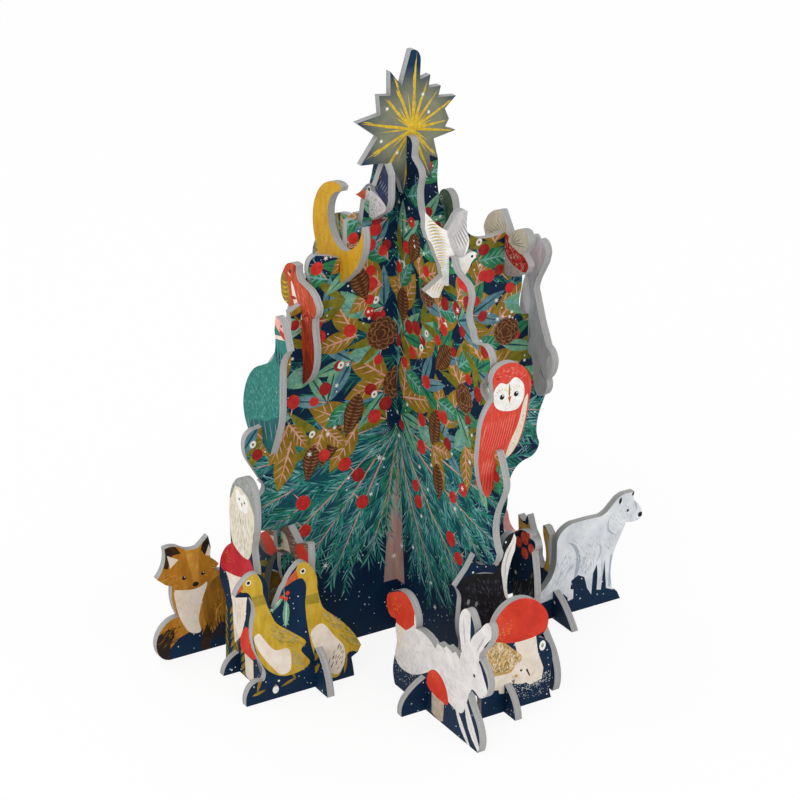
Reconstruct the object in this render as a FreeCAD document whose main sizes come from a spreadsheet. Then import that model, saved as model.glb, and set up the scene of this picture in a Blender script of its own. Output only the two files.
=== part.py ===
import FreeCAD, Part
import os
import Sketcher
from FreeCAD import Vector

# A slot-together advent tree of thick printed board. Two large tree panels halve into each
# other, and one cut-out figure for each of the 24 days slots on to their edges and toes.
# Every board is flat, cut from one sheet. A "wide" board stands along X and a "cross" board
# along Y. Outlines are in millimetres: u runs to the right as the board is seen from the
# front (+X on a wide board, -Y on a cross board) and v runs up from the floor.

doc = FreeCAD.newDocument("advent_tree")
sizes = doc.addObject("Spreadsheet::Sheet", "sizes")

# The driving dimensions, in millimetres. A slot runs from its seat by slot_reach, past any
# edge of its board, or by toe_reach or lip_reach where it has to stay short. cut_depth is how
# far the cutter of a slot goes through the board, more than its thickness.
BOARD_SIZES = {
    "board_thickness": 5.0,
    "slot_width": 5.2,
    "slot_reach": 400.0,
    "toe_reach": 38.0,
    "lip_reach": 11.5,
    "cut_depth": 20.0,
}

# Where each board stands: the middle of its thickness, along Y for a wide board and
# along X for a cross board.
WIDE_PLACES = {
    "tree_panel_wide": 0.0,
    "star": -12.0,
    "dove": -62.0,
    "red_owl": -115.5,
    "badger": -103.5,
    "hedgehog": -131.0,
    "arctic_fox": -44.0,
    "fox": 37.0,
    "geese": -42.5,
    "robin": 45.0,
    "woodpecker": 116.0,
    "deer": 104.0,
    "bullfinch": 40.0,
}
CROSS_PLACES = {
    "tree_panel_cross": 0.0,
    "moon": -41.0,
    "squirrel": -69.0,
    "pheasant": -98.0,
    "small_bird": -20.0,
    "white_owl": -118.7,
    "log": -86.5,
    "hare": -40.8,
    "holly_twig": 41.0,
    "cardinal": 81.5,
    "climbing_hare": 101.0,
    "wren": 35.5,
    "fox_cubs": 95.9,
}

# Each crossing of two boards: the lower board, whose slot opens upwards, the upper board,
# whose slot opens downwards, and the height of the seat where the two slots meet.
EDGE_CROSSINGS = [
    ("tree_panel_wide", "tree_panel_cross", 170.0),
    ("tree_panel_cross", "star", 336.0),
    ("tree_panel_cross", "dove", 273.0),
    ("tree_panel_cross", "red_owl", 172.0),
    ("tree_panel_cross", "robin", 254.0),
    ("tree_panel_cross", "woodpecker", 172.0),
    ("tree_panel_wide", "moon", 263.0),
    ("tree_panel_wide", "squirrel", 233.0),
    ("tree_panel_wide", "pheasant", 160.0),
    ("tree_panel_wide", "small_bird", 298.0),
    ("tree_panel_wide", "cardinal", 248.0),
    ("tree_panel_wide", "climbing_hare", 190.0),
    ("tree_panel_wide", "wren", 280.0),
]
# The same for boards that cross low down or under a bough, where the slot stays short.
TOE_CROSSINGS = [
    ("tree_panel_wide", "white_owl", 8.0),
    ("fox_cubs", "tree_panel_wide", 14.0),
    ("log", "geese", 11.0),
    ("log", "fox", 12.0),
    ("badger", "hare", 10.0),
    ("tree_panel_cross", "badger", 17.0),
    ("badger", "holly_twig", 12.0),
    ("tree_panel_cross", "hedgehog", 9.0),
    ("fox_cubs", "arctic_fox", 11.0),
    ("fox_cubs", "bullfinch", 11.0),
    ("tree_panel_cross", "deer", 17.0),
]
# The log carries the lip of the bough above its arch, where only a short slot is needed.
LIP_CROSSINGS = [("log", "tree_panel_wide", 88.0)]
CROSSINGS = EDGE_CROSSINGS + TOE_CROSSINGS + LIP_CROSSINGS

PLACES = {**WIDE_PLACES, **CROSS_PLACES}

# How far the tangent arcs of a cut may stray from the smooth curve through its points, and
# the rise below which such an arc is cut straight.
ARC_FIT = 0.7
FLAT_RISE = 0.4


def fill_sheet():
    cells = dict(BOARD_SIZES)
    cells.update({name + "_place": place for name, place in PLACES.items()})
    cells.update({lower + "_" + upper + "_seat": seat for lower, upper, seat in CROSSINGS})
    for row, (alias, value) in enumerate(cells.items(), start=1):
        sizes.set("A%d" % row, alias)
        sizes.set("B%d" % row, str(value))
        sizes.setAlias("B%d" % row, alias)


def rise(arc):
    middle = arc.value((arc.FirstParameter + arc.LastParameter) / 2)
    return middle.distanceToPoint((arc.StartPoint + arc.EndPoint) / 2)


class Outline:
    """The edge of a board, drawn from a start point by straight edges, arcs and curves."""

    def __init__(self, u, v):
        self.start = Vector(u, v, 0)
        self.end = self.start
        self.edges = []

    def line(self, *points):
        for u, v in points:
            corner = Vector(u, v, 0)
            self.edges.append(Part.LineSegment(self.end, corner))
            self.end = corner
        return self

    def arc(self, middle, end):
        finish = Vector(*end, 0)
        self.edges.append(Part.Arc(self.end, Vector(*middle, 0), finish))
        self.end = finish
        return self

    def curve(self, *points):
        knots = [self.end] + [Vector(u, v, 0) for u, v in points]
        smooth = Part.BSplineCurve()
        smooth.interpolate(knots)
        for arc in smooth.toBiArcs(ARC_FIT):
            chord = Part.LineSegment(arc.StartPoint, arc.EndPoint)
            self.edges.append(arc if rise(arc) > FLAT_RISE else chord)
        self.end = self.edges[-1].EndPoint
        return self

    def close(self):
        return self if self.end == self.start else self.line((self.start.x, self.start.y))


def origin_plane(body, role):
    return next(feature for feature in body.Origin.OriginFeatures if feature.Role == role)


def board_sketch(body, name, is_wide):
    sketch = body.newObject("Sketcher::SketchObject", name)
    sketch.AttachmentSupport = [(origin_plane(body, "XZ_Plane" if is_wide else "YZ_Plane"), "")]
    sketch.MapMode = "FlatFace"
    return sketch


def mirrored(edge):
    turned = edge.copy()
    turned.mirror(Vector(0, 0, 0), Vector(0, 1, 0))
    return turned


def cut_slot(body, other, seat_cell, opens_up, is_wide, reach):
    sketch = board_sketch(body, body.Name + "_slot_for_" + other, is_wide)
    side = 1 if opens_up else -1
    corners = [Vector(-1, 0, 0), Vector(1, 0, 0), Vector(1, side * 9, 0), Vector(-1, side * 9, 0)]
    for index in range(4):
        sketch.addGeometry(Part.LineSegment(corners[index], corners[(index + 1) % 4]), False)
    for index in range(4):
        sketch.addConstraint(Sketcher.Constraint("Coincident", index, 2, (index + 1) % 4, 1))
    sketch.addConstraint(Sketcher.Constraint("Horizontal", 0))
    sketch.addConstraint(Sketcher.Constraint("Horizontal", 2))
    sketch.addConstraint(Sketcher.Constraint("Vertical", 1))
    sketch.addConstraint(Sketcher.Constraint("Vertical", 3))
    sketch.addConstraint(Sketcher.Constraint("Symmetric", 0, 1, 0, 2, -1, 1))
    width = sketch.addConstraint(Sketcher.Constraint("DistanceX", 0, 1, 0, 2, 2.0))
    sketch.renameConstraint(width, "width")
    first, last = ((1, 1), (1, 2)) if opens_up else ((1, 2), (1, 1))
    length = sketch.addConstraint(Sketcher.Constraint("DistanceY", *first, *last, 9.0))
    sketch.renameConstraint(length, "reach")
    sketch.setExpression("Constraints.width", "sizes.slot_width")
    sketch.setExpression("Constraints.reach", "sizes." + reach)
    sketch.setExpression("AttachmentOffset.Base.x", "sizes." + other + "_place")
    sketch.setExpression("AttachmentOffset.Base.y", "sizes." + seat_cell)
    pocket = body.newObject("PartDesign::Pocket", sketch.Name + "_cut")
    pocket.Profile = sketch
    pocket.SideType = "Symmetric"
    pocket.setExpression("Length", "sizes.cut_depth")
    doc.recompute()


def make_board(name, outline):
    is_wide = name in WIDE_PLACES
    body = doc.addObject("PartDesign::Body", name)
    body.Label = name
    sketch = board_sketch(body, name + "_outline", is_wide)
    for edge in outline.close().edges:
        sketch.addGeometry(edge if is_wide else mirrored(edge), False)
    pad = body.newObject("PartDesign::Pad", name + "_board")
    pad.Profile = sketch
    pad.SideType = "Symmetric"
    pad.setExpression("Length", "sizes.board_thickness")
    doc.recompute()
    for lower, upper, seat in CROSSINGS:
        if name not in (lower, upper):
            continue
        before = body.Shape.Volume
        opens_up = name == lower
        other = upper if opens_up else lower
        crossing = (lower, upper, seat)
        reach = "slot_reach"
        if crossing in TOE_CROSSINGS:
            reach = "toe_reach"
        if crossing in LIP_CROSSINGS:
            reach = "lip_reach"
        cut_slot(body, other, lower + "_" + upper + "_seat", opens_up, is_wide, reach)
        if body.Shape.Volume > before - 1:
            raise RuntimeError("the slot for %s missed %s" % (other, name))
    axis = "y" if is_wide else "x"
    body.setExpression("Placement.Base." + axis, "sizes." + name + "_place")
    return body


def tree_panel_wide():
    outline = Outline(-133, 0)
    outline.curve((-131, 6), (-125, 12), (-112, 18), (-96, 25), (-79, 44))
    outline.curve((-87, 56), (-88, 82))
    outline.line((-91.5, 82), (-91.5, 94.5), (-103, 97))
    outline.curve((-105.5, 104), (-105.4, 121))
    outline.curve((-100, 123), (-101.6, 131), (-108.4, 143), (-113.8, 154), (-112, 165), (-103.5, 168))
    outline.line((-98.5, 169.5), (-98.5, 198))
    outline.curve((-92, 210), (-80, 226), (-79.7, 241))
    outline.line((-64, 248))
    outline.curve((-62.5, 252), (-65.4, 262), (-65, 272), (-60.4, 275))
    outline.curve((-52, 273), (-43.4, 270))
    outline.curve((-38, 279), (-38.2, 293), (-32.5, 293), (-27.8, 288))
    outline.line((-25.5, 304), (-14.5, 304), (-13.5, 296), (-9.4, 295))
    outline.curve((-9.4, 312), (-6, 323), (-7, 338))
    outline.line((16, 338))
    outline.curve((22, 334), (25.5, 329), (27, 318), (28, 305), (31, 291))
    outline.line((41, 290), (47, 277))
    outline.curve((54, 267), (66, 263.5), (76, 265), (85, 263))
    outline.curve((88, 248), (92.8, 234), (91, 220), (93, 206))
    outline.line((106, 203))
    outline.curve((110, 190), (117, 172), (117.5, 155), (110, 135), (107, 120), (109.5, 110))
    outline.curve((103, 100), (94, 97.5), (88.5, 92), (85, 78), (82, 60))
    outline.curve((87, 38), (97, 27), (112, 18), (125, 12), (131, 6), (133, 0))
    return outline


def tree_panel_cross():
    outline = Outline(-146.6, 0)
    outline.curve((-144, 9), (-132, 21), (-112, 29), (-96, 36), (-88, 52))
    outline.curve((-88, 68), (-91, 84), (-99, 92), (-112, 94), (-122, 104), (-117, 118), (-120, 138))
    outline.curve((-129, 150), (-130, 163), (-121, 174), (-114, 190), (-102, 206), (-104, 222))
    outline.curve((-106, 236), (-98, 246), (-85, 250))
    outline.curve((-84, 262), (-74, 270), (-62, 272), (-52, 277))
    outline.line((-38, 278))
    outline.curve((-35, 296), (-28, 310), (-22, 326), (-14, 334), (-8, 346))
    outline.line((18, 346))
    outline.curve((22, 340), (20, 333), (27, 329), (29, 321), (27, 312), (31, 298), (40, 286), (56, 283))
    outline.line((67, 283))
    outline.curve((73, 274), (84, 270), (87, 264), (84.5, 254), (88.5, 243))
    outline.curve((94, 236), (105, 238), (111.5, 231), (109, 221), (101, 211), (108, 203))
    outline.line((112, 192), (112.4, 174.5), (120.5, 174.5))
    outline.curve((125.5, 165), (128.6, 153), (122, 139), (117.6, 126), (122.4, 106))
    outline.curve((112, 94), (99, 93), (91, 85), (88, 68), (88, 52))
    outline.curve((96, 36), (112, 29), (132, 21), (144, 9), (146.6, 0))
    return outline


def star():
    tips = [(0.5, 399), (-14, 388), (-22, 374), (-37.5, 359), (-35, 332), (-24.5, 317), (-5, 309)]
    tips += [(16, 315), (20, 328), (33, 344), (28, 352), (33, 366), (22, 374), (14.5, 382)]
    inner = [(-6, 378), (-14, 373), (-21, 362), (-23, 348), (-19, 331), (-9, 322), (2, 329)]
    inner += [(14, 331), (17, 341), (25, 347), (25, 359), (20, 367), (13, 374), (7, 380)]
    outline = Outline(7.5, 392)
    outline.curve((4.8, 399.5), (0.5, 399))
    for tip, valley in zip(tips[1:], inner):
        outline.line(valley, tip)
    outline.line(inner[-1])
    return outline


def dove():
    outline = Outline(-19.8, 314.2)
    outline.curve((-14.4, 308), (-9, 303), (-4, 299.8))
    outline.curve((0.3, 306), (5, 310.8), (10.6, 309.5))
    outline.curve((9.9, 303.5), (10.2, 297), (11.3, 289), (7.7, 280.4))
    outline.curve((11, 282.6), (15, 283.4), (18.2, 279))
    outline.curve((13.3, 275.4), (10.5, 270.5), (6, 266.5), (0, 264), (-5.9, 264.9))
    outline.line((-9.7, 257.6), (-14.1, 258.3), (-19.2, 263.2))
    outline.curve((-13, 267), (-7.1, 270.8))
    outline.curve((-8.8, 278.6), (-12.1, 285.6), (-14.8, 293), (-17.6, 296.5))
    outline.line((-19.8, 303.6))
    return outline


def red_owl():
    outline = Outline(-4.4, 218)
    outline.curve((-2.5, 227), (5, 230.3), (13, 228.5), (20, 222), (22.6, 206))
    outline.curve((20.6, 192), (15, 176), (9, 168), (-0.5, 168))
    outline.line((-2.5, 155))
    outline.curve((-4, 148), (-7, 144), (-11.5, 152), (-14.3, 168), (-13, 184), (-9, 200), (-3.5, 208))
    return outline


def badger():
    outline = Outline(-61, 0)
    outline.curve((-60, 9), (-52, 18), (-38, 25), (-19, 30))
    outline.curve((-16, 42), (-18.9, 54), (-17, 66), (-21.8, 81))
    outline.curve((-14, 90), (-6.2, 102.5))
    outline.curve((-8, 96), (-3, 91.5), (5, 92), (12, 99), (17, 107), (20.8, 108.2))
    outline.line((22.8, 104), (21.9, 95.5))
    outline.curve((18, 84), (17.5, 63), (24, 48), (31, 36))
    outline.curve((40, 30), (52, 20), (57.7, 0))
    return outline


def hedgehog():
    outline = Outline(-19, 0)
    outline.line((-19.9, 20.8), (-22.3, 39.3))
    outline.curve((-18, 46), (-13, 49), (-9, 50))
    outline.curve((-12, 58), (-9.5, 67), (0, 76), (11, 77), (23, 70), (30, 56), (28, 50), (22, 46.5))
    outline.curve((31, 40), (33.5, 24), (33.4, 0))
    return outline


def arctic_fox():
    outline = Outline(84, 0)
    outline.line((80.5, 8))
    outline.curve((78, 16), (83, 21), (93.8, 34), (96, 49), (98.5, 62), (105.5, 66), (119, 67.3))
    outline.line((131, 66.8))
    outline.curve((139, 71.5), (146, 77.5), (154, 79), (158.5, 78.6))
    outline.curve((162, 68), (165.1, 59.5), (159, 57), (152.2, 57.3))
    outline.curve((148.3, 49), (143, 38), (140.7, 26), (142.5, 10.5))
    outline.curve((146, 7), (149.5, 0))
    return outline


def fox():
    outline = Outline(-153, 0)
    outline.curve((-160, 4), (-162.5, 13), (-158, 24), (-146, 30))
    outline.curve((-149.5, 40), (-149.5, 53))
    outline.line((-154, 55), (-160, 60.5))
    outline.curve((-155, 68), (-154, 81))
    outline.curve((-147.5, 81), (-138, 77), (-130, 76))
    outline.line((-122.5, 82.5))
    outline.curve((-121, 75), (-121.6, 66.5))
    outline.line((-115.5, 61), (-118.5, 57))
    outline.curve((-107, 54), (-92, 51), (-77, 45.5), (-67, 38), (-62, 26), (-62, 12), (-65, 0))
    return outline


def geese():
    outline = Outline(-138.5, 0)
    outline.curve((-138, 8), (-134, 14.5), (-126, 15))
    outline.curve((-124, 20), (-127, 28), (-131, 37), (-133, 48), (-131, 66), (-134.5, 77))
    outline.line((-144.4, 79.5))
    outline.curve((-140, 87), (-134, 91.5), (-127, 91), (-123, 85), (-121, 71.5), (-117.5, 63))
    outline.line((-111.5, 76), (-109.3, 78.5))
    outline.curve((-104, 87), (-97, 91.5), (-90, 86), (-86.5, 73))
    outline.curve((-83, 60), (-75, 48), (-63, 34), (-54.8, 21))
    outline.curve((-57, 16.5), (-62, 14))
    outline.curve((-61, 8), (-60, 0))
    return outline


def robin():
    outline = Outline(-24, 238)
    outline.line((-21, 243), (-6, 252))
    outline.curve((2, 264), (14, 272), (22, 281), (32, 279))
    outline.line((39, 276), (33, 273))
    outline.curve((33, 260), (23, 247), (8, 241), (-8, 243))
    return outline


def woodpecker():
    outline = Outline(-12, 148)
    outline.curve((-16, 167), (-17, 186), (-11, 204), (-2, 215), (6, 222))
    outline.line((10, 219), (28, 216), (11, 209))
    outline.curve((14, 198), (13, 184), (6, 170), (-2, 160), (-8, 146))
    return outline


def deer():
    outline = Outline(-55, 0)
    outline.curve((-54, 9), (-48, 16), (-38, 18))
    outline.curve((-40, 30), (-44, 46), (-47, 60), (-44, 70))
    outline.line((-49, 76), (-42, 78))
    outline.curve((-28, 78), (-10, 75), (6, 78), (15, 90), (18, 102))
    outline.line((13, 111), (20, 110), (21, 120), (25, 111))
    outline.curve((33, 107), (44, 100), (42, 95), (32, 94))
    outline.curve((29, 82), (28, 68), (32, 52), (30, 34), (31, 18))
    outline.curve((44, 17), (53, 10), (55, 0))
    return outline


def bullfinch():
    outline = Outline(58, 0)
    outline.curve((60, 12), (70, 20), (82, 24))
    outline.line((74, 34), (83, 38))
    outline.curve((88, 48), (97, 51), (105, 48.5))
    outline.curve((113, 37), (116, 28), (118.8, 23.8))
    outline.line((116, 20), (117, 16))
    outline.curve((122, 11), (124, 0))
    return outline


def moon():
    outline = Outline(5, 254.5)
    outline.arc((-31.2, 281), (2, 318.4))
    outline.line((5.4, 317.2), (3.6, 313.8))
    outline.arc((-11.6, 290), (8, 276.4))
    outline.curve((19, 281.5), (26, 288), (30, 298.5))
    outline.curve((31.5, 290), (27, 276), (17, 264))
    return outline


def squirrel():
    outline = Outline(-17.5, 264)
    outline.curve((-12, 268), (-3, 268.6))
    outline.curve((-1, 260), (9, 258), (16, 255.5), (22, 248), (17, 240))
    outline.curve((17, 230), (18.5, 220), (16, 205), (8, 195), (3, 191.4))
    outline.curve((4.5, 204), (3, 214), (-4, 219))
    outline.curve((-10, 226), (-9, 238), (-19, 240), (-23.5, 250), (-21.5, 258))
    return outline


def pheasant():
    outline = Outline(23.5, 250)
    outline.curve((29, 248.5), (34, 242), (37.5, 231.5))
    outline.curve((29, 222), (25.5, 205), (26, 190), (19, 167), (13, 154))
    outline.curve((4, 157), (-4, 161), (-13, 157))
    outline.curve((-20, 166), (-19, 186), (-12, 200), (3, 211), (17, 219), (22, 230), (21.5, 240))
    return outline


def small_bird():
    outline = Outline(-14.4, 303.5)
    outline.curve((-7, 308), (0, 314), (7, 316.5), (13, 314))
    outline.line((21.5, 333), (26, 327))
    outline.curve((25, 312), (20, 301), (12, 297), (6, 292), (-4, 292))
    outline.curve((-5, 299), (-7, 303))
    return outline


def white_owl():
    outline = Outline(-16.8, 0)
    outline.curve((-16, 18), (-15, 34), (-14, 46))
    outline.line((-21.7, 57))
    outline.curve((-20.5, 71), (-13, 83), (-4.5, 90))
    outline.curve((-5.5, 109), (-3, 127), (2, 136), (10.6, 142), (20, 143), (27, 136))
    outline.curve((28.5, 120), (25.5, 103))
    outline.curve((24, 93), (26.5, 83), (24, 68), (22.5, 50), (22.5, 32))
    outline.curve((27, 20), (34, 8), (36, 0))
    return outline


def log():
    outline = Outline(-27, 79)
    outline.line((-18.8, 84.5), (12.5, 101))
    outline.curve((17, 98), (24, 93.5))
    outline.line((35.5, 99), (38.5, 99), (38.5, 30))
    outline.curve((47, 27), (56, 17), (61.4, 0))
    outline.line((26, 0))
    outline.curve((24, 30), (27, 62), (22, 80))
    outline.curve((12, 83), (2, 79.5), (-14, 66), (-22, 48), (-25, 22), (-24, 0))
    outline.line((-58, 0))
    outline.curve((-55, 12), (-46, 22), (-34, 28))
    outline.curve((-34, 48), (-27, 79))
    return outline


def hare():
    outline = Outline(68.3, 0)
    outline.curve((66, 9), (68, 22), (71, 33))
    outline.curve((69, 42), (70, 48))
    outline.curve((59, 51), (59, 60), (69.7, 68.5), (81, 71.5), (90, 66), (93.5, 52))
    outline.curve((103, 53.5), (117, 48.8))
    outline.line((119.5, 54), (127, 54), (130, 57), (137, 55.5), (140.5, 58), (145.5, 55))
    outline.curve((146, 66), (144.5, 80), (147.5, 90), (152, 93.5), (157, 91), (158.5, 76))
    outline.curve((165, 84), (172, 91), (178, 93.5), (180, 89), (173, 76), (166.5, 66))
    outline.curve((173, 60), (177, 50), (172, 41.5), (160, 40))
    outline.curve((155, 34), (160, 26), (168, 14), (166.5, 0))
    return outline


def holly_twig():
    outline = Outline(86, 0)
    outline.curve((84, 24), (80, 50), (78, 84))
    outline.curve((83, 96), (92, 99), (98, 99))
    outline.line((98.4, 96.3))
    outline.curve((104, 95), (100.6, 87.3))
    outline.curve((103.4, 74), (105, 58))
    outline.curve((107, 44), (116, 35), (124, 27), (127.4, 0))
    return outline


def cardinal():
    outline = Outline(-23, 261)
    outline.curve((-19.5, 269), (-3, 278.5))
    outline.line((8.5, 263))
    outline.curve((14, 270), (26.5, 272.5))
    outline.curve((28, 262), (24.5, 256.5), (30, 251), (27.8, 245.5))
    outline.curve((16, 239), (3, 236.5), (-14, 240))
    outline.line((-23, 261))
    return outline


def climbing_hare():
    outline = Outline(-8, 200)
    outline.curve((-7, 215), (1.5, 238))
    outline.curve((-3, 250), (3.5, 260), (9.5, 254))
    outline.curve((14.5, 260), (20.5, 255), (17, 242), (9, 221))
    outline.curve((17, 202), (24, 189))
    outline.curve((30.5, 184), (30, 174), (24.5, 166))
    outline.curve((23, 155), (16, 151), (10, 162), (7, 176))
    outline.line((-8, 180))
    return outline


def wren():
    outline = Outline(-4, 290)
    outline.curve((-2, 299), (8, 301.5), (12, 294), (11, 282), (4, 272))
    outline.curve((-6, 273), (-8, 284))
    return outline


def fox_cubs():
    outline = Outline(-62, 0)
    outline.curve((-60, 9), (-38, 23), (-10, 22), (2, 28), (6, 38), (4, 46))
    outline.line((3, 59.6), (8.3, 57), (11.8, 58.5), (13.9, 64), (18.9, 54))
    outline.curve((24, 49), (26, 38))
    outline.curve((33, 32), (37, 38), (36.5, 48), (32.9, 64))
    outline.line((36.5, 64), (40.8, 60), (40.8, 22))
    outline.curve((52, 18), (62, 10), (70, 0))
    return outline


BOARDS = [
    tree_panel_wide, tree_panel_cross, star, dove, red_owl, badger, hedgehog, arctic_fox, fox,
    geese, robin, woodpecker, deer, bullfinch, moon, squirrel, pheasant, small_bird, white_owl,
    log, hare, holly_twig, cardinal, climbing_hare, wren, fox_cubs,
]

fill_sheet()
doc.recompute()
bodies = [make_board(board.__name__, board()) for board in BOARDS]
doc.recompute()

for item in doc.Objects:
    if "Invalid" in item.State or "Error" in item.State:
        raise RuntimeError("%s failed: %s" % (item.Name, item.State))
for body in bodies:
    if not body.Shape.isValid() or len(body.Shape.Solids) != 1:
        raise RuntimeError("%s is not one valid solid" % body.Label)

os.makedirs("parts", exist_ok=True)
for body in bodies:
    body.Shape.exportStep("parts/" + body.Label + ".step")
    print(body.Label, round(body.Shape.Volume), len(body.Shape.Solids))
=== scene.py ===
import math
import random
import bmesh
import bpy
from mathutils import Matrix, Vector
from mathutils.geometry import delaunay_2d_cdt


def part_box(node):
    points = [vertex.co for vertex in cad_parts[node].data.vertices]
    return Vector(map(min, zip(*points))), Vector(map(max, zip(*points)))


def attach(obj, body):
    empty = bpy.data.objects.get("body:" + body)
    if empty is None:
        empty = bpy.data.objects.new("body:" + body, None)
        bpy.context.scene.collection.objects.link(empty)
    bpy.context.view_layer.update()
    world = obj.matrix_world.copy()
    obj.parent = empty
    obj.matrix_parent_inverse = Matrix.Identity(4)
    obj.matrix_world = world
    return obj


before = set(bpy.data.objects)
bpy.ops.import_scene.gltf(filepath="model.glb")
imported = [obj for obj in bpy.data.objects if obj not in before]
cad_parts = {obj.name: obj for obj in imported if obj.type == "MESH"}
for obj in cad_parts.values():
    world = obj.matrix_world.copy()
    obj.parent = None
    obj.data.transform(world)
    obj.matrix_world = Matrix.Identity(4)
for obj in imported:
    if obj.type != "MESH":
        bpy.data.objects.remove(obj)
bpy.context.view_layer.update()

mm = 0.001
print("frame loaded:", len(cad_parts), "boards")


def linear(hexColour):
    parts = [int(hexColour[i:i + 2], 16) / 255 for i in (1, 3, 5)]
    return [c / 12.92 if c <= 0.04045 else ((c + 0.055) / 1.055) ** 2.4 for c in parts] + [1.0]


def add(tree, kind, inputs=None, **settings):
    node = tree.nodes.new(kind)
    for name, value in settings.items():
        setattr(node, name, value)
    for socket, value in (inputs or {}).items():
        if isinstance(value, bpy.types.NodeSocket):
            tree.links.new(value, node.inputs[socket])
        else:
            node.inputs[socket].default_value = value
    return node


def calculate(tree, operation, first, second):
    return add(tree, "ShaderNodeMath", {0: first, 1: second}, operation=operation).outputs["Value"]


def blend(tree, share, colour, hexColour):
    mix = add(tree, "ShaderNodeMix", {"Factor": share}, data_type="RGBA")
    tree.links.new(colour, mix.inputs["A"])
    mix.inputs["B"].default_value = linear(hexColour)
    return mix.outputs["Result"]


# The dark, main and light tones of a surface, each at its stop along a cloudy value.
def rampTones(tree, cloud, stops, tones):
    ramp = add(tree, "ShaderNodeValToRGB", {"Fac": cloud})
    marks = ramp.color_ramp.elements
    while len(marks) < len(stops):
        marks.new(0.5)
    for mark, position, tone in zip(marks, stops, tones):
        mark.position = position
        mark.color = linear(tone)
    return ramp.outputs["Color"]


def roughen(tree, shader, height, look):
    bump = add(tree, "ShaderNodeBump", {
        "Height": height, "Strength": look["bump"], "Distance": look["bumpDepth"] * mm})
    tree.links.new(bump.outputs["Normal"], shader.inputs["Normal"])
    shader.inputs["Specular IOR Level"].default_value = look["specular"]


def newMaterial(name):
    material = bpy.data.materials.new(name)
    material.use_nodes = True
    return material, material.node_tree, material.node_tree.nodes["Principled BSDF"]


def show(name, mesh):
    piece = bpy.data.objects.new(name, mesh)
    bpy.context.scene.collection.objects.link(piece)
    return piece


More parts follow.
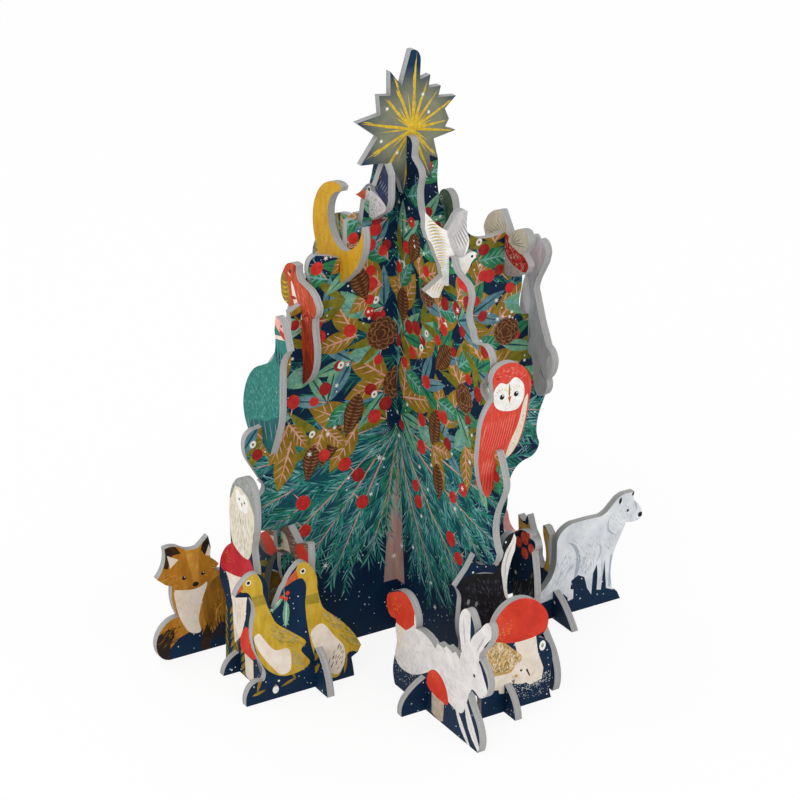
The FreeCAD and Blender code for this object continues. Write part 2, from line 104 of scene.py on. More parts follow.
# Offset-printed ink on uncoated paper, painted in gouache before it was printed: the eye sees
# a flat colour with soft lighter and darker brush drags in it, and a dry, matt surface.
# Each ink is its main, dark and light tone, and the size in millimetres of their clouds.
inks = {
    "night": ("#042440", "#031c36", "#082e4b", 22),
    "deepTeal": ("#114d58", "#0b3c4c", "#1d636a", 5),
    "teal": ("#2a8479", "#1d6a66", "#47a092", 5),
    "fir": ("#2f7f52", "#1e6241", "#4d9a68", 5),
    "sage": ("#6fa584", "#4f8a6a", "#96c29f", 5),
    "mist": ("#74aea8", "#56938f", "#9ccbc2", 5),
    "frost": ("#5b8490", "#456d7b", "#83a5ac", 5),
    "ochre": ("#93741f", "#7c6016", "#ad8d33", 6),
    "olive": ("#75701d", "#5d5a17", "#8f8a33", 6),
    "rose": ("#d9a08f", "#c48775", "#e6b9ab", 4),
    "bark": ("#b39289", "#9d7d75", "#c5a69d", 9),
    "berry": ("#c92f2b", "#ae2422", "#da4338", 4),
    "wine": ("#9d2523", "#841b1c", "#b5332c", 4),
    "cone": ("#54301a", "#3d2110", "#6a4024", 3),
    "coneEdge": ("#8d6040", "#74492d", "#a57753", 3),
    "snow": ("#eeece6", "#dddbd6", "#fbfaf6", 4),
    "gold": ("#d3ae2a", "#b58f22", "#e6c94e", 3),
    "starGlow": ("#7c7f69", "#6f7463", "#8a8a72", 9),
    "moonGold": ("#c9981f", "#b9881a", "#d6aa35", 7),
    "coal": ("#19191c", "#121214", "#26262a", 4),
    "pelt": ("#34343b", "#26262c", "#45454d", 3),
    "hairGrey": ("#4b4d58", "#3c3e48", "#5c5e6a", 3),
    "stone": ("#8e9094", "#77797e", "#a6a8ab", 5),
    "cream": ("#e9dccb", "#d9cab6", "#f3eadf", 10),
    "foxCoat": ("#b27722", "#9c6418", "#c48c36", 8),
    "foxPale": ("#cb9138", "#b9802c", "#daa650", 6),
    # honey is the fox cubs' ochre made lighter than its printed tone: painted light that lifts the shade their
    # board sits in
    "honey": ("#e0a546", "#cd9136", "#ecba66", 6),
    "foxFlank": ("#8e601b", "#724814", "#a2742a", 8),
    "foxSock": ("#2b1d14", "#1c130d", "#47301c", 6),
    "goose": ("#c6a231", "#b38d22", "#d2b14a", 8),
    "gooseBand": ("#a08a2a", "#8d7a24", "#b09a3c", 6),
    "gooseWing": ("#a9986a", "#958554", "#bcae83", 3),
    "bill": ("#c4562f", "#ab4524", "#d66f46", 4),
    "furWhite": ("#e3dfdd", "#d2cdcb", "#f1eeec", 9),
    "furShade": ("#c3bfbf", "#b0acad", "#d2cfcf", 4),
    "ice": ("#dde0e4", "#c5cad1", "#eff1f3", 14),
    "iceShade": ("#a9b1bb", "#979fab", "#bcc3cb", 5),
    # coral is the holly berries' red made lighter than its printed tone: painted light that lifts the shade
    # their board sits in
    "coral": ("#f05a40", "#dd4530", "#f67358", 4),
    "indigo": ("#27304f", "#1c2440", "#3a4566", 4),
    "scarlet": ("#d23a26", "#bf2f1f", "#dd5039", 16),
    "owlRed": ("#d34638", "#bd362c", "#e25f4c", 5),
    "owlStripe": ("#e37361", "#d45f50", "#ee8b78", 3),
    "barn": ("#ddd5bf", "#c9c0a6", "#ebe5d3", 4),
    "owlCrown": ("#8f938d", "#787d77", "#a5a8a2", 4),
    "crimson": ("#b8222f", "#a21a27", "#c73a42", 10),
    "barnShade": ("#a39d86", "#8d8771", "#b8b29c", 3),
    "squirrelCoat": ("#bd4a28", "#a43a1e", "#cf6240", 6),
    "squirrelTail": ("#932c18", "#7c2111", "#aa3d24", 5),
    "plume": ("#277a6f", "#1a6159", "#4c9689", 2.2),
    "plumeDark": ("#1b5f60", "#134b4f", "#2b7573", 3),
    "slate": ("#82888c", "#6a7076", "#9aa0a3", 5),
    # hareBlue is the climbing hare's pale blue-grey made lighter than its printed tone: painted light that
    # lifts the shade its board sits in
    "hareBlue": ("#c2c7d1", "#abb1bd", "#d5d9e0", 9),
    "moss": ("#5f7a63", "#4a6450", "#7b937c", 4),
    "straw": ("#c39c62", "#ab844c", "#d4b27c", 4),
    "strawPale": ("#e2c795", "#d2b47f", "#efdab0", 3),
    "logBark": ("#7d6154", "#644a3f", "#957868", 5),
    "logWood": ("#b8a694", "#a3907d", "#cbbcab", 5),
    "blush": ("#eba79d", "#de958b", "#f3bdb3", 6),
    "deerCoat": ("#9a6a45", "#825636", "#b07f58", 7),
}
# How many times finer the clouds are along X, Y and Z, where a dry brush dragged them.
drags = {
    "bark": (2.2, 2.2, 0.35), "moonGold": (2.5, 2.5, 0.5), "foxCoat": (2, 2, 0.6), "foxFlank": (2, 2, 0.5),
    "goose": (1.8, 1.8, 0.6), "owlRed": (2.5, 2.5, 0.5), "barn": (2.5, 2.5, 0.5), "squirrelCoat": (2, 2, 0.5),
    "squirrelTail": (2.5, 2.5, 0.4), "hareBlue": (1.6, 1.6, 0.6), "logBark": (1, 0.3, 1.6),
    "deerCoat": (2, 2, 0.6),
}
paper = {
    "cloudDetail": 5.0, "cloudRoughness": 0.7, "stops": (0.3, 0.5, 0.72), "fibre": 0.5, "fibreDetail": 3.0,
    "bump": 0.35, "bumpDepth": 0.03, "roughness": (0.56, 0.7), "specular": 0.15,
}
# Spattered white gouache: the spacing and radius of the specks in millimetres, and the share
# of their places that is filled.
spatter = {"ink": "#e6ebea", "sizes": ((3.6, 0.42, 0.6), (6.0, 0.55, 0.5), (13.0, 0.8, 0.4))}
# The star's middle as a share of its box, and where the fade to its rim starts and ends.
starFade = {"ink": "#0c3350", "middle": (0.55, 0.45), "start": 21, "end": 40}
inkMaterials = {}


def snowSpecks(tree, place, colour):
    for spacing, radius, share in spatter["sizes"]:
        cells = add(tree, "ShaderNodeTexVoronoi", {"Vector": place, "Scale": 1 / (spacing * mm)})
        dot = calculate(tree, "LESS_THAN", cells.outputs["Distance"], radius / spacing)
        pick = add(tree, "ShaderNodeSeparateColor", {"Color": cells.outputs["Color"]})
        kept = calculate(tree, "LESS_THAN", pick.outputs["Red"], share)
        colour = blend(tree, calculate(tree, "MULTIPLY", dot, kept), colour, spatter["ink"])
    return colour


# An airbrushed fade: the ink turns to the rim's colour away from the middle of the star.
def fadeToRim(tree, place, colour):
    low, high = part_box("star")
    right, up = starFade["middle"]
    middle = [low[0] + right * (high[0] - low[0]), low[1], low[2] + up * (high[2] - low[2])]
    out = add(tree, "ShaderNodeVectorMath", {0: place, 1: middle}, operation="DISTANCE")
    share = add(tree, "ShaderNodeMapRange", {
        "Value": out.outputs["Value"], "From Min": starFade["start"] * mm, "From Max": starFade["end"] * mm})
    return blend(tree, share.outputs["Result"], colour, starFade["ink"])


def makeInk(name):
    main, dark, light, cloudSize = inks[name]
    material, tree, shader = newMaterial(name + "Ink")
    place = add(tree, "ShaderNodeTexCoord").outputs["Object"]
    drag = add(tree, "ShaderNodeMapping", {"Vector": place, "Scale": drags.get(name, (1, 1, 1))})
    cloud = add(tree, "ShaderNodeTexNoise", {
        "Vector": drag.outputs["Vector"], "Scale": 1 / (cloudSize * mm), "Detail": paper["cloudDetail"],
        "Roughness": paper["cloudRoughness"]})
    colour = rampTones(tree, cloud.outputs["Fac"], paper["stops"], (dark, main, light))
    if name == "night":
        colour = snowSpecks(tree, place, colour)
    if name == "starGlow":
        colour = fadeToRim(tree, place, colour)
    fibre = add(tree, "ShaderNodeTexNoise", {
        "Vector": place, "Scale": 1 / (paper["fibre"] * mm), "Detail": paper["fibreDetail"]})
    roughen(tree, shader, fibre.outputs["Fac"], paper)
    smoothest, roughest = paper["roughness"]
    gloss = add(tree, "ShaderNodeMapRange", {
        "Value": cloud.outputs["Fac"], "To Min": smoothest, "To Max": roughest})
    tree.links.new(colour, shader.inputs["Base Color"])
    tree.links.new(gloss.outputs["Result"], shader.inputs["Roughness"])
    return material


def inkFor(name):
    if name not in inkMaterials:
        inkMaterials[name] = makeInk(name)
    return inkMaterials[name]


# Laminated greyboard, die-cut: a dull warm-grey edge with faint plies along the board and the
# soft fuzz that the cutting rule leaves. Plies and fuzz are in millimetres.
greyboard = {
    "tones": ("#8d8d8c", "#a6a6a5", "#babab8"), "stops": (0.3, 0.5, 0.7), "ply": 0.9, "plyLength": 40,
    "plyDetail": 3.0, "fuzz": 0.7, "fuzzDetail": 4.0, "fuzzShare": 0.4, "bump": 0.5, "bumpDepth": 0.08,
    "roughness": 0.85, "specular": 0.2,
}


def makeGreyboard(name, plyAxis):
    material, tree, shader = newMaterial(name)
    place = add(tree, "ShaderNodeTexCoord").outputs["Object"]
    grain = [greyboard["ply"] if axis == plyAxis else greyboard["plyLength"] for axis in range(3)]
    plies = add(tree, "ShaderNodeMapping", {"Vector": place, "Scale": [1 / (size * mm) for size in grain]})
    layers = add(tree, "ShaderNodeTexNoise", {
        "Vector": plies.outputs["Vector"], "Scale": 1.0, "Detail": greyboard["plyDetail"]})
    fuzz = add(tree, "ShaderNodeTexNoise", {
        "Vector": place, "Scale": 1 / (greyboard["fuzz"] * mm), "Detail": greyboard["fuzzDetail"]})
    both = add(tree, "ShaderNodeMix", {
        "Factor": greyboard["fuzzShare"], "A": layers.outputs["Fac"], "B": fuzz.outputs["Fac"]})
    colour = rampTones(tree, both.outputs["Result"], greyboard["stops"], greyboard["tones"])
    roughen(tree, shader, both.outputs["Result"], greyboard)
    tree.links.new(colour, shader.inputs["Base Color"])
    shader.inputs["Roughness"].default_value = greyboard["roughness"]
    return material


# The printed paper on both faces of a board. This is the sheet being drawn: its points are in
# millimetres, u to the right and v up as the board is seen from the front, the same on both
# faces, so the back is the front's mirror image.
sheet = {}
printing = {"lift": 0.05, "mergeWithin": 1e-4, "straightWithin": 0.02}


# The axis that a board is thin along: 1 for a board that stands left to right, 0 for the others.
def thinAxis(low, high):
    return 1 if high[1] - low[1] < high[0] - low[0] else 0


def newSheet(node):
    low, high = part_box(node)
    thin = thinAxis(low, high)
    left, right = (low[0], high[0]) if thin == 1 else (-high[1], -low[1])
    sheet.update({
        "node": node, "thin": thin, "faces": (low[thin], high[thin]), "fields": [],
        "low": (left / mm, low[2] / mm), "size": ((right - left) / mm, (high[2] - low[2]) / mm),
    })
    sheet["edge"] = boardEdge()


# The cut line of a board, walked round the rim of its front face.
def boardEdge():
    thin, frontPlane = sheet["thin"], sheet["faces"][0]
    board = bmesh.new()
    board.from_mesh(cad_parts[sheet["node"]].data)
    bmesh.ops.remove_doubles(board, verts=board.verts, dist=0.001 * mm)
    front = {f for f in board.faces if all(abs(v.co[thin] - frontPlane) < 0.01 * mm for v in f.verts)}
    rim = {}
    for face in front:
        for loop in face.loops:
            if sum(other in front for other in loop.edge.link_faces) == 1:
                rim[loop.vert] = loop.link_loop_next.vert
    walk = [next(iter(rim))]
    while rim[walk[-1]] is not walk[0]:
        walk.append(rim[walk[-1]])
    edge = [((v.co.x if thin == 1 else -v.co.y) / mm, v.co.z / mm) for v in walk]
    board.free()
    return edge


# A point from its share of the board's box, in percent, right and up.
def at(x, y):
    return sheet["low"][0] + sheet["size"][0] * x / 100, sheet["low"][1] + sheet["size"][1] * y / 100


# The planar map takes every outline anticlockwise, so one drawn the other way is turned round.
def paint(ink, points):
    area = sum(x0 * y1 - x1 * y0 for (x0, y0), (x1, y1) in zip(points, points[1:] + points[:1]))
    sheet["fields"].append((ink, points if area > 0 else points[::-1]))


# All fields cut into one flat map, where each cell has the ink that was painted last, and cells
# of one ink are joined again.
def planarMap(fields, names):
    points = []
    loops = []
    for _, outline in fields:
        loops.append(list(range(len(points), len(points) + len(outline))))
        points += [Vector(point) for point in outline]
    corners, _, cells, _, _, owners = delaunay_2d_cdt(points, [], loops, 1, printing["mergeWithin"])
    flat = bmesh.new()
    verts = [flat.verts.new((corner.x, corner.y, 0)) for corner in corners]
    for cell, inside in zip(cells, owners):
        if 0 in inside:
            flat.faces.new([verts[i] for i in cell]).material_index = names.index(fields[max(inside)][0])
    bmesh.ops.delete(flat, geom=[v for v in flat.verts if not v.link_faces], context="VERTS")
    bmesh.ops.dissolve_limit(
        flat, angle_limit=printing["straightWithin"], verts=flat.verts, edges=flat.edges, delimit={"MATERIAL"})
    bmesh.ops.triangulate(flat, faces=flat.faces)
    return flat


def finishSheet(ground):
    fields = [(ground, sheet["edge"])] + sheet["fields"]
    names = sorted({ink for ink, outline in fields})
    flat = planarMap(fields, names)
    both = bmesh.new()
    lift = printing["lift"] * mm
    for plane, flip in ((sheet["faces"][0] - lift, False), (sheet["faces"][1] + lift, True)):
        laid = {}
        for v in flat.verts:
            u, height = v.co.x * mm, v.co.y * mm
            laid[v] = both.verts.new((u, plane, height) if sheet["thin"] == 1 else (plane, -u, height))
        for cell in flat.faces:
            order = reversed(cell.verts) if flip else cell.verts
            both.faces.new([laid[v] for v in order]).material_index = cell.material_index
    mesh = bpy.data.meshes.new(sheet["node"] + "_print")
    both.to_mesh(mesh)
    flat.free()
    both.free()
    for name in names:
        mesh.materials.append(inkFor(name))
    piece = show(sheet["node"] + "_print", mesh)
    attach(piece, "root")
    print(sheet["node"], "printed:", len(fields), "fields,", len(mesh.polygons), "triangles")


# Shapes are lists of points in millimetres, and turns are in degrees.
def polar(start, turn, length):
    return start[0] + length * math.cos(math.radians(turn)), start[1] + length * math.sin(math.radians(turn))


def heading(start, end):
    return math.degrees(math.atan2(end[1] - start[1], end[0] - start[0]))


def moved(shape, centre, turn):
    c, s = math.cos(math.radians(turn)), math.sin(math.radians(turn))
    return [(centre[0] + c * x - s * y, centre[1] + s * x + c * y) for x, y in shape]


def disc(centre, radius, squash=1.0, turn=0.0, corners=16):
    shape = []
    for i in range(corners):
        angle = 2 * math.pi * i / corners
        shape.append((radius * math.cos(angle), radius * squash * math.sin(angle)))
    return moved(shape, centre, turn)


# A brush stroke or leaf from one point to another, widest at its belly.
def stroke(start, end, width, belly=0.5, bend=0.0, steps=4):
    length = math.dist(start, end)
    power = math.log(0.5) / math.log(belly)
    upper = []
    lower = []
    for i in range(1, steps):
        t = i / steps
        half = width / 2 * math.sin(math.pi * t ** power)
        lift = bend * length * math.sin(math.pi * t)
        upper.append((t * length, lift + half))
        lower.append((t * length, lift - half))
    return moved([(0, 0)] + lower + [(length, 0)] + upper[::-1], start, heading(start, end))


# A closed smooth curve through a few points.
def smooth(points, steps=5):
    curve = []
    count = len(points)
    for i in range(count):
        a, b, c, d = (points[(i + k) % count] for k in (-1, 0, 1, 2))
        for j in range(steps):
            t = j / steps
            curve.append(tuple(
                0.5 * (2 * b[k] + (c[k] - a[k]) * t + (2 * a[k] - 5 * b[k] + 4 * c[k] - d[k]) * t * t
                       + (3 * b[k] - a[k] - 3 * c[k] + d[k]) * t ** 3) for k in (0, 1)))
    return curve


# The tree's printed design, in millimetres: a trunk that shows below the whorl where the lower
# boughs meet, boughs that hang round it, and leaves, cones and berries that fill the rest.
# Each cone and leaf has its place across, as a share of the board's half-width, and its height.
design = {
    "trunkFoot": 36, "trunkHalf": 12.5, "trunkWaist": 105, "waistShare": 0.62, "whorl": 152, "top": 335,
    "levels": 7, "firstLevel": 20, "levelStep": 24, "boughs": 16,
    "rows": 11, "cell": 23, "berryShare": 0.7, "budShare": 0.2,
    "longCones": ((0.42, 176, -98), (-0.4, 158, -118), (-0.28, 176, -110), (0.6, 224, -130), (-0.5, 262, -70),
                  (0.1, 246, -92), (0.4, 286, -110)),
    "roundCones": ((-0.7, 178, 11), (0.74, 196, 9.5), (-0.14, 214, 11), (0.45, 250, 8)),
    "lowLeaves": ((-0.5, 158, -112), (0.36, 150, -60), (0.66, 164, -84), (-0.72, 166, -120)),
    "lowCones": ((-0.56, 148, -104), (0.42, 140, -82)),
    "lowBerries": 13, "lowFlakes": 20, "highFlakes": 44,
}


def halfWidth(height, side):
    near = [abs(u) for u, v in sheet["edge"] if abs(v - height) < 9 and u * side > 0]
    return max(near) if near else 20.0


def onTree(across, height):
    return across * halfWidth(height, 1 if across > 0 else -1), height


def firTwig(chance, root, turn, length, inkNames, stem="rose", needle=13.0, step=1.25):
    sag = chance.uniform(-0.06, 0.06)
    count = int(length / step)
    for i in range(count):
        t = (i + 0.5) / count
        base = polar(root, turn, t * length)
        base = polar(base, turn + 90, sag * length * math.sin(math.pi * t))
        reach = needle * (1.05 - 0.5 * t) * chance.uniform(0.75, 1.15)
        lean = turn + (1 if i % 2 else -1) * chance.uniform(16, 38)
        ink = chance.choice(inkNames)
        paint(ink, stroke(base, polar(base, lean, reach), chance.uniform(0.7, 1.2), 0.4, 0, 3))
    paint(stem, stroke(root, polar(root, turn, length), 1.3, 0.3, sag))


# A whole bough: a dark wash, side twigs and the twig that leads.
def firBough(chance, root, turn, length, inkNames):
    paint("deepTeal", stroke(root, polar(root, turn, length), length * 0.17, 0.55, 0.0, 8))
    for i in range(3):
        base = polar(root, turn, length * (0.3 + 0.2 * i))
        for side in (-1, 1):
            aim = turn + side * chance.uniform(18, 30)
            firTwig(chance, base, aim, length * 0.34, inkNames, "teal", 13.0, 1.9)
    firTwig(chance, root, turn, length, inkNames, "rose", 17.0, 1.25)


def veinedLeaf(root, turn, length, width, ink, vein, sides=4):
    paint(ink, stroke(root, polar(root, turn, length), width, 0.45, 0.0, 10))
    for i in range(sides):
        t = 0.14 + 0.66 * i / sides
        base = polar(root, turn, t * length)
        reach = width * 0.66 * math.sin(math.pi * (t + 0.1))
        for side in (-1, 1):
            paint(vein, stroke(base, polar(base, turn + side * 42, reach), 0.9, 0.3))
    paint(vein, stroke(polar(root, turn, -0.1 * length), polar(root, turn, 0.93 * length), 1.5, 0.3))


def berry(chance, centre, radius):
    ink = chance.choice(["berry", "berry", "berry", "wine"])
    paint(ink, disc(centre, radius, chance.uniform(0.9, 1.0), chance.uniform(0, 180)))


def longCone(root, turn, length, width):
    paint("cone", stroke(root, polar(root, turn, length), width, 0.4, 0.0, 10))
    rows = int(length / 2.3)
    for i in range(1, rows):
        t = i / rows
        middle = polar(root, turn, t * length)
        half = width / 2 * math.sin(math.pi * t ** 0.76) * 0.92
        for side in (-1, 1):
            edge = polar(polar(middle, turn + 90 * side, half), turn, -1.6)
            paint("coneEdge", stroke(middle, edge, 1.0, 0.5, -0.14 * side, 4))


# A cone seen from its end: rings of scales, each given as its share of the radius and its count.
def roundCone(centre, radius):
    paint("cone", disc(centre, radius, 1.0, 0, 24))
    for ring, scales in ((0.8, 10), (0.55, 8), (0.3, 5), (0.0, 1)):
        for i in range(scales):
            angle = 360 * (i + ring) / scales
            middle = polar(centre, angle, radius * ring)
            paint("coneEdge", disc(middle, radius * 0.27, 0.9, angle, 12))
            paint("cone", disc(polar(middle, angle, -0.9), radius * 0.25, 0.9, angle, 12))


def bud(centre, radius):
    paint("snow", disc(centre, radius, 0.85, 60))
    paint("coneEdge", disc(centre, radius * 0.35, 1.0, 0, 8))


def snowflake(centre, radius):
    for turn in (15, 75, 135):
        paint("snow", stroke(polar(centre, turn, -radius), polar(centre, turn, radius), 0.8))


def bareTwig(root, turn, length, ink):
    paint(ink, stroke(root, polar(root, turn, length), 1.1, 0.3))
    for i in range(4):
        base = polar(root, turn, length * (0.3 + 0.17 * i))
        side = turn + (38 if i % 2 else -38)
        paint(ink, stroke(base, polar(base, side, length * 0.28), 0.8, 0.35))


# The lower boughs fan out and hang from the whorl, short over the trunk and long beside it.
def paintBoughs(chance):
    whorl, boughs = (0, design["whorl"]), design["boughs"]
    for level in range(design["levels"]):
        height = whorl[1] + design["firstLevel"] + design["levelStep"] * level
        for side in (-1, 1):
            reach = halfWidth(height - 22, side)
            aim = heading((0, 22 - 2 * level), (side * reach, 0))
            firTwig(chance, (0, height), aim, reach, ["deepTeal", "teal", "fir"], "deepTeal", 17 - level)
    for i in range(boughs):
        turn = -178 + 176 * (i + 0.5) / boughs + chance.uniform(-3, 3)
        fromTrunk = abs(turn + 90)
        length = 60 + 60 * math.sin(math.radians(min(90.0, 2.2 * fromTrunk)))
        if fromTrunk < 14:
            firTwig(chance, whorl, turn, length, ["teal", "fir", "deepTeal", "sage"], "bark", 14)
        else:
            needleInks = ["teal", "teal", "fir", "mist", "mist", "frost"]
            firBough(chance, polar(whorl, turn, 8), turn, length, needleInks)
    firTwig(chance, whorl, 90, 180, ["mist", "teal", "fir", "deepTeal"], "frost", 10, 1.4)


# One cell of the filling above the whorl. The share is 0 at the whorl and 1 at the top.
def dressCell(chance, centre, outward, share, kind):
    if kind == 0:
        for turn in (-30, 8, 40):
            blade = polar(centre, outward + turn, 33 - 8 * share)
            paint("olive", stroke(centre, blade, 6.0, 0.5, 0.06, 6))
    if kind == 1:
        for turn in (-46, 0, 46):
            ink = chance.choice(["fir", "frost", "sage"])
            veinedLeaf(centre, outward + turn, 31 - 6 * share, 8.5, ink, "deepTeal", 0)
    if kind == 2 and share < 0.75:
        for least, most, length, width in ((-25, 25, 42 - 16 * share, 20 - 7 * share),
                                           (50, 90, 36 - 14 * share, 16 - 6 * share)):
            veinedLeaf(centre, outward + chance.uniform(least, most), length, width, "ochre", "rose")
    if kind == 3:
        turn = outward + chance.uniform(-40, 40)
        veinedLeaf(centre, turn, 26, 14, chance.choice(["sage", "fir"]), "mist")
        bareTwig(centre, outward + chance.uniform(-80, 80), 27, "frost")


def dressBerries(chance, centre, outward):
    for i in range(chance.choice([1, 1, 2])):
        place = polar(centre, outward + chance.uniform(-90, 90), chance.uniform(6, 14))
        paint("rose", stroke(centre, place, 0.9, 0.3))
        berry(chance, place, chance.uniform(3.4, 5.0))


def fillBranches(chance):
    cells = []
    for row in range(design["rows"]):
        share = row / design["rows"]
        height = design["whorl"] + 4 + (design["top"] - 18 - design["whorl"]) * share
        for side in (-1, 1):
            reach = halfWidth(height, side)
            count = max(1, round(reach / design["cell"]))
            for column in range(count):
                across = side * reach * (column + 0.45) / count
                centre = (across + chance.uniform(-3, 3), height + chance.uniform(-4, 4))
                kind = (row + 2 * column + (side > 0)) % 4
                cells.append((centre, 90 - side * chance.uniform(20, 110), share, kind))
    for cell in cells:
        dressCell(chance, *cell)
    for centre, outward, share, kind in cells:
        if chance.random() < design["berryShare"]:
            dressBerries(chance, centre, outward)
        if chance.random() < design["budShare"]:
            bud(polar(centre, outward, 8), 2.6)
    for across, height, turn in design["longCones"]:
        longCone(onTree(across, height), turn, 32 - 0.06 * (height - 150), 14)
    for across, height, radius in design["roundCones"]:
        roundCone(onTree(across, height), radius)


# What hangs over the lower boughs: leaves in pairs, cones and berries, and then the snow.
def hangLowest(chance):
    for across, height, turn in design["lowLeaves"]:
        root = onTree(across, height)
        veinedLeaf(root, turn, 30, 14, "ochre", "rose")
        veinedLeaf(root, turn + 64, 24, 11, "ochre", "rose")
    for across, height, turn in design["lowCones"]:
        longCone(onTree(across, height), turn, 26, 12)
    for i in range(design["lowBerries"]):
        side = -1 if i % 2 else 1
        place = (side * chance.uniform(24, 96), 84 + 5 * i)
        paint("rose", stroke(place, polar(place, 90 - side * 40, 12), 0.9, 0.3))
        berry(chance, place, chance.uniform(4.0, 5.6))


def letItSnow(chance):
    for i in range(design["lowFlakes"]):
        snowflake((chance.uniform(-100, 100), chance.uniform(30, 150)), chance.uniform(1.6, 2.8))
    for i in range(design["highFlakes"]):
        height = chance.uniform(90, 330)
        place = (chance.uniform(-0.9, 0.9) * halfWidth(height, 1), height)
        snowflake(place, chance.uniform(1.2, 2.2))
        paint("snow", disc(polar(place, chance.uniform(0, 360), chance.uniform(3, 9)), 0.6))


def printTree(node, seed):
    chance = random.Random(seed)
    newSheet(node)
    foot, waist, whorl = design["trunkFoot"], design["trunkWaist"], design["whorl"]
    half = design["trunkHalf"]
    slim = half * design["waistShare"]
    paint("bark", [(-half, foot), (half, foot), (slim, waist), (1.6, whorl), (-1.6, whorl), (-slim, waist)])
    paintBoughs(chance)
    fillBranches(chance)
    hangLowest(chance)
    letItSnow(chance)
    finishSheet("night")


printTree("tree_panel_wide", 3)
printTree("tree_panel_cross", 8)


# The figures. Points are shares of the board's box, in percent, and all other sizes are in
# millimetres. A patch is straight-edged, a blob is smooth, and a spot is round.
def patch(ink, *points):
    paint(ink, [at(x, y) for x, y in points])


def blob(ink, *points):
    paint(ink, smooth([at(x, y) for x, y in points]))


def spot(ink, x, y, radius, squash=1.0, turn=0.0):
    paint(ink, disc(at(x, y), radius, squash, turn))


def brush(ink, start, end, width, bend=0.0):
    paint(ink, stroke(at(*start), at(*end), width, 0.5, bend, 6))


def eye(x, y, white, black):
    spot("snow", x, y, white)
    spot("coal", x, y, black)


def isInside(point, loop):
    within = False
    for (x0, y0), (x1, y1) in zip(loop, loop[1:] + loop[:1]):
        if (y0 > point[1]) != (y1 > point[1]):
            if point[0] < x0 + (point[1] - y0) / (y1 - y0) * (x1 - x0):
                within = not within
    return within


# Short brush strokes that start inside a patch: fur, feathers, spines or specks. They lean to
# one side in degrees, give or take the spread.
def fur(inkNames, within, count, lean, length, width, spread, seed):
    chance = random.Random(seed)
    loop = smooth([at(x, y) for x, y in within])
    left, right = min(u for u, v in loop), max(u for u, v in loop)
    low, high = min(v for u, v in loop), max(v for u, v in loop)
    laid = 0
    while laid < count:
        point = (chance.uniform(left, right), chance.uniform(low, high))
        if not isInside(point, loop):
            continue
        laid += 1
        tip = polar(point, lean + chance.uniform(-spread, spread), length * chance.uniform(0.7, 1.2))
        paint(chance.choice(inkNames), stroke(point, tip, width, 0.4, 0.0, 3))


# A row of long strokes side by side, from the start to the end of a line.
def feathers(ink, start, end, count, turn, length, width=0.8, bend=0.0):
    first, last = at(*start), at(*end)
    for i in range(count):
        t = (i + 0.5) / count
        base = (first[0] + (last[0] - first[0]) * t, first[1] + (last[1] - first[1]) * t)
        reach = length * (0.6 + 0.4 * math.sin(math.pi * t))
        paint(ink, stroke(base, polar(base, turn, reach), width, 0.5, bend, 5))


def goldSpecks(x, y, spread, count, seed):
    chance = random.Random(seed)
    for i in range(count):
        middle = polar(at(x, y), chance.uniform(0, 360), spread * chance.random() ** 0.5)
        paint("gold", disc(middle, chance.uniform(0.25, 0.55), 0.6, chance.uniform(0, 180), 6))


# The speck is the middle, spread and count of the gold on the cap.
def toadstool(cap, stem, seed, speck, ink="scarlet"):
    patch("cream", *stem)
    blob(ink, *cap)
    goldSpecks(*speck, seed)


def drawStar():
    chance = random.Random(5)
    middle = (55, 45)
    tips = [(60, 99), (36, 85), (27, 70), (2, 55), (8, 29), (20, 12), (46, 1), (74, 9), (80, 22), (98, 39),
            (93, 47), (98, 61), (82, 70), (71, 78)]
    start = at(*middle)
    for tip in tips:
        end = at(*tip)
        turn = heading(start, end)
        length = math.dist(start, end)
        paint("gold", stroke(start, polar(start, turn, length * 0.99), 1.8, 0.35, 0.0, 8))
        for k in range(7):
            near = polar(start, turn + chance.uniform(-2.5, 2.5), length * chance.uniform(0.1, 0.75))
            far = polar(near, turn + chance.uniform(-3, 3), length * 0.2)
            paint("gold", stroke(near, far, chance.uniform(0.6, 1.3), 0.5, 0.0, 4))
        half = polar(start, turn + 11, length * chance.uniform(0.45, 0.6))
        paint("gold", stroke(start, half, 1.0, 0.4, 0.0, 6))
    spot("gold", *middle, 3.2)
    for x, y in ((30, 62), (66, 68), (72, 55), (40, 30), (24, 40), (60, 22), (68, 83)):
        snowflake(at(x, y), 1.4)


def drawMoon():
    everywhere = ((0, 0), (100, 0), (100, 100), (0, 100))
    fur(["cone", "bill"], everywhere, 110, 80, 1.8, 0.6, 20, 2)
    fur(["gold"], everywhere, 60, 80, 3.0, 0.5, 20, 3)


def drawSquirrel():
    blob("squirrelTail", (55, 62), (75, 66), (98, 62), (108, 50), (100, 25), (70, 2), (50, -4), (64, 20),
         (66, 42))
    tail = ((70, 60), (92, 58), (92, 30), (70, 10), (66, 30))
    fur(["squirrelCoat"], tail, 60, -75, 6, 0.5, 14, 4)
    fur(["wine"], tail, 40, -75, 6, 0.5, 14, 5)
    fur(["owlStripe"], ((40, 88), (62, 84), (84, 64), (66, 58), (50, 70)), 50, -55, 4, 0.45, 16, 6)
    blob("cream", (30, 84), (38, 80), (47, 70), (60, 58), (52, 56), (40, 64), (33, 73))
    patch("ochre", (-5, 86), (10, 88), (24, 78), (26, 64), (14, 58), (-5, 62))
    for i in range(5):
        brush("gold", (2, 80 - 4 * i), (22, 82 - 4 * i), 1.0, -0.15)
    brush("wine", (46, 72), (28, 70), 2.2)
    brush("wine", (62, 58), (84, 62), 1.6, 0.2)
    spot("coal", 28, 92, 1.2)
    spot("coal", 13, 95, 1.1)
    brush("squirrelTail", (38, 92), (44, 101), 3.2)
    brush("cream", (20, 90), (30, 88), 1.0)


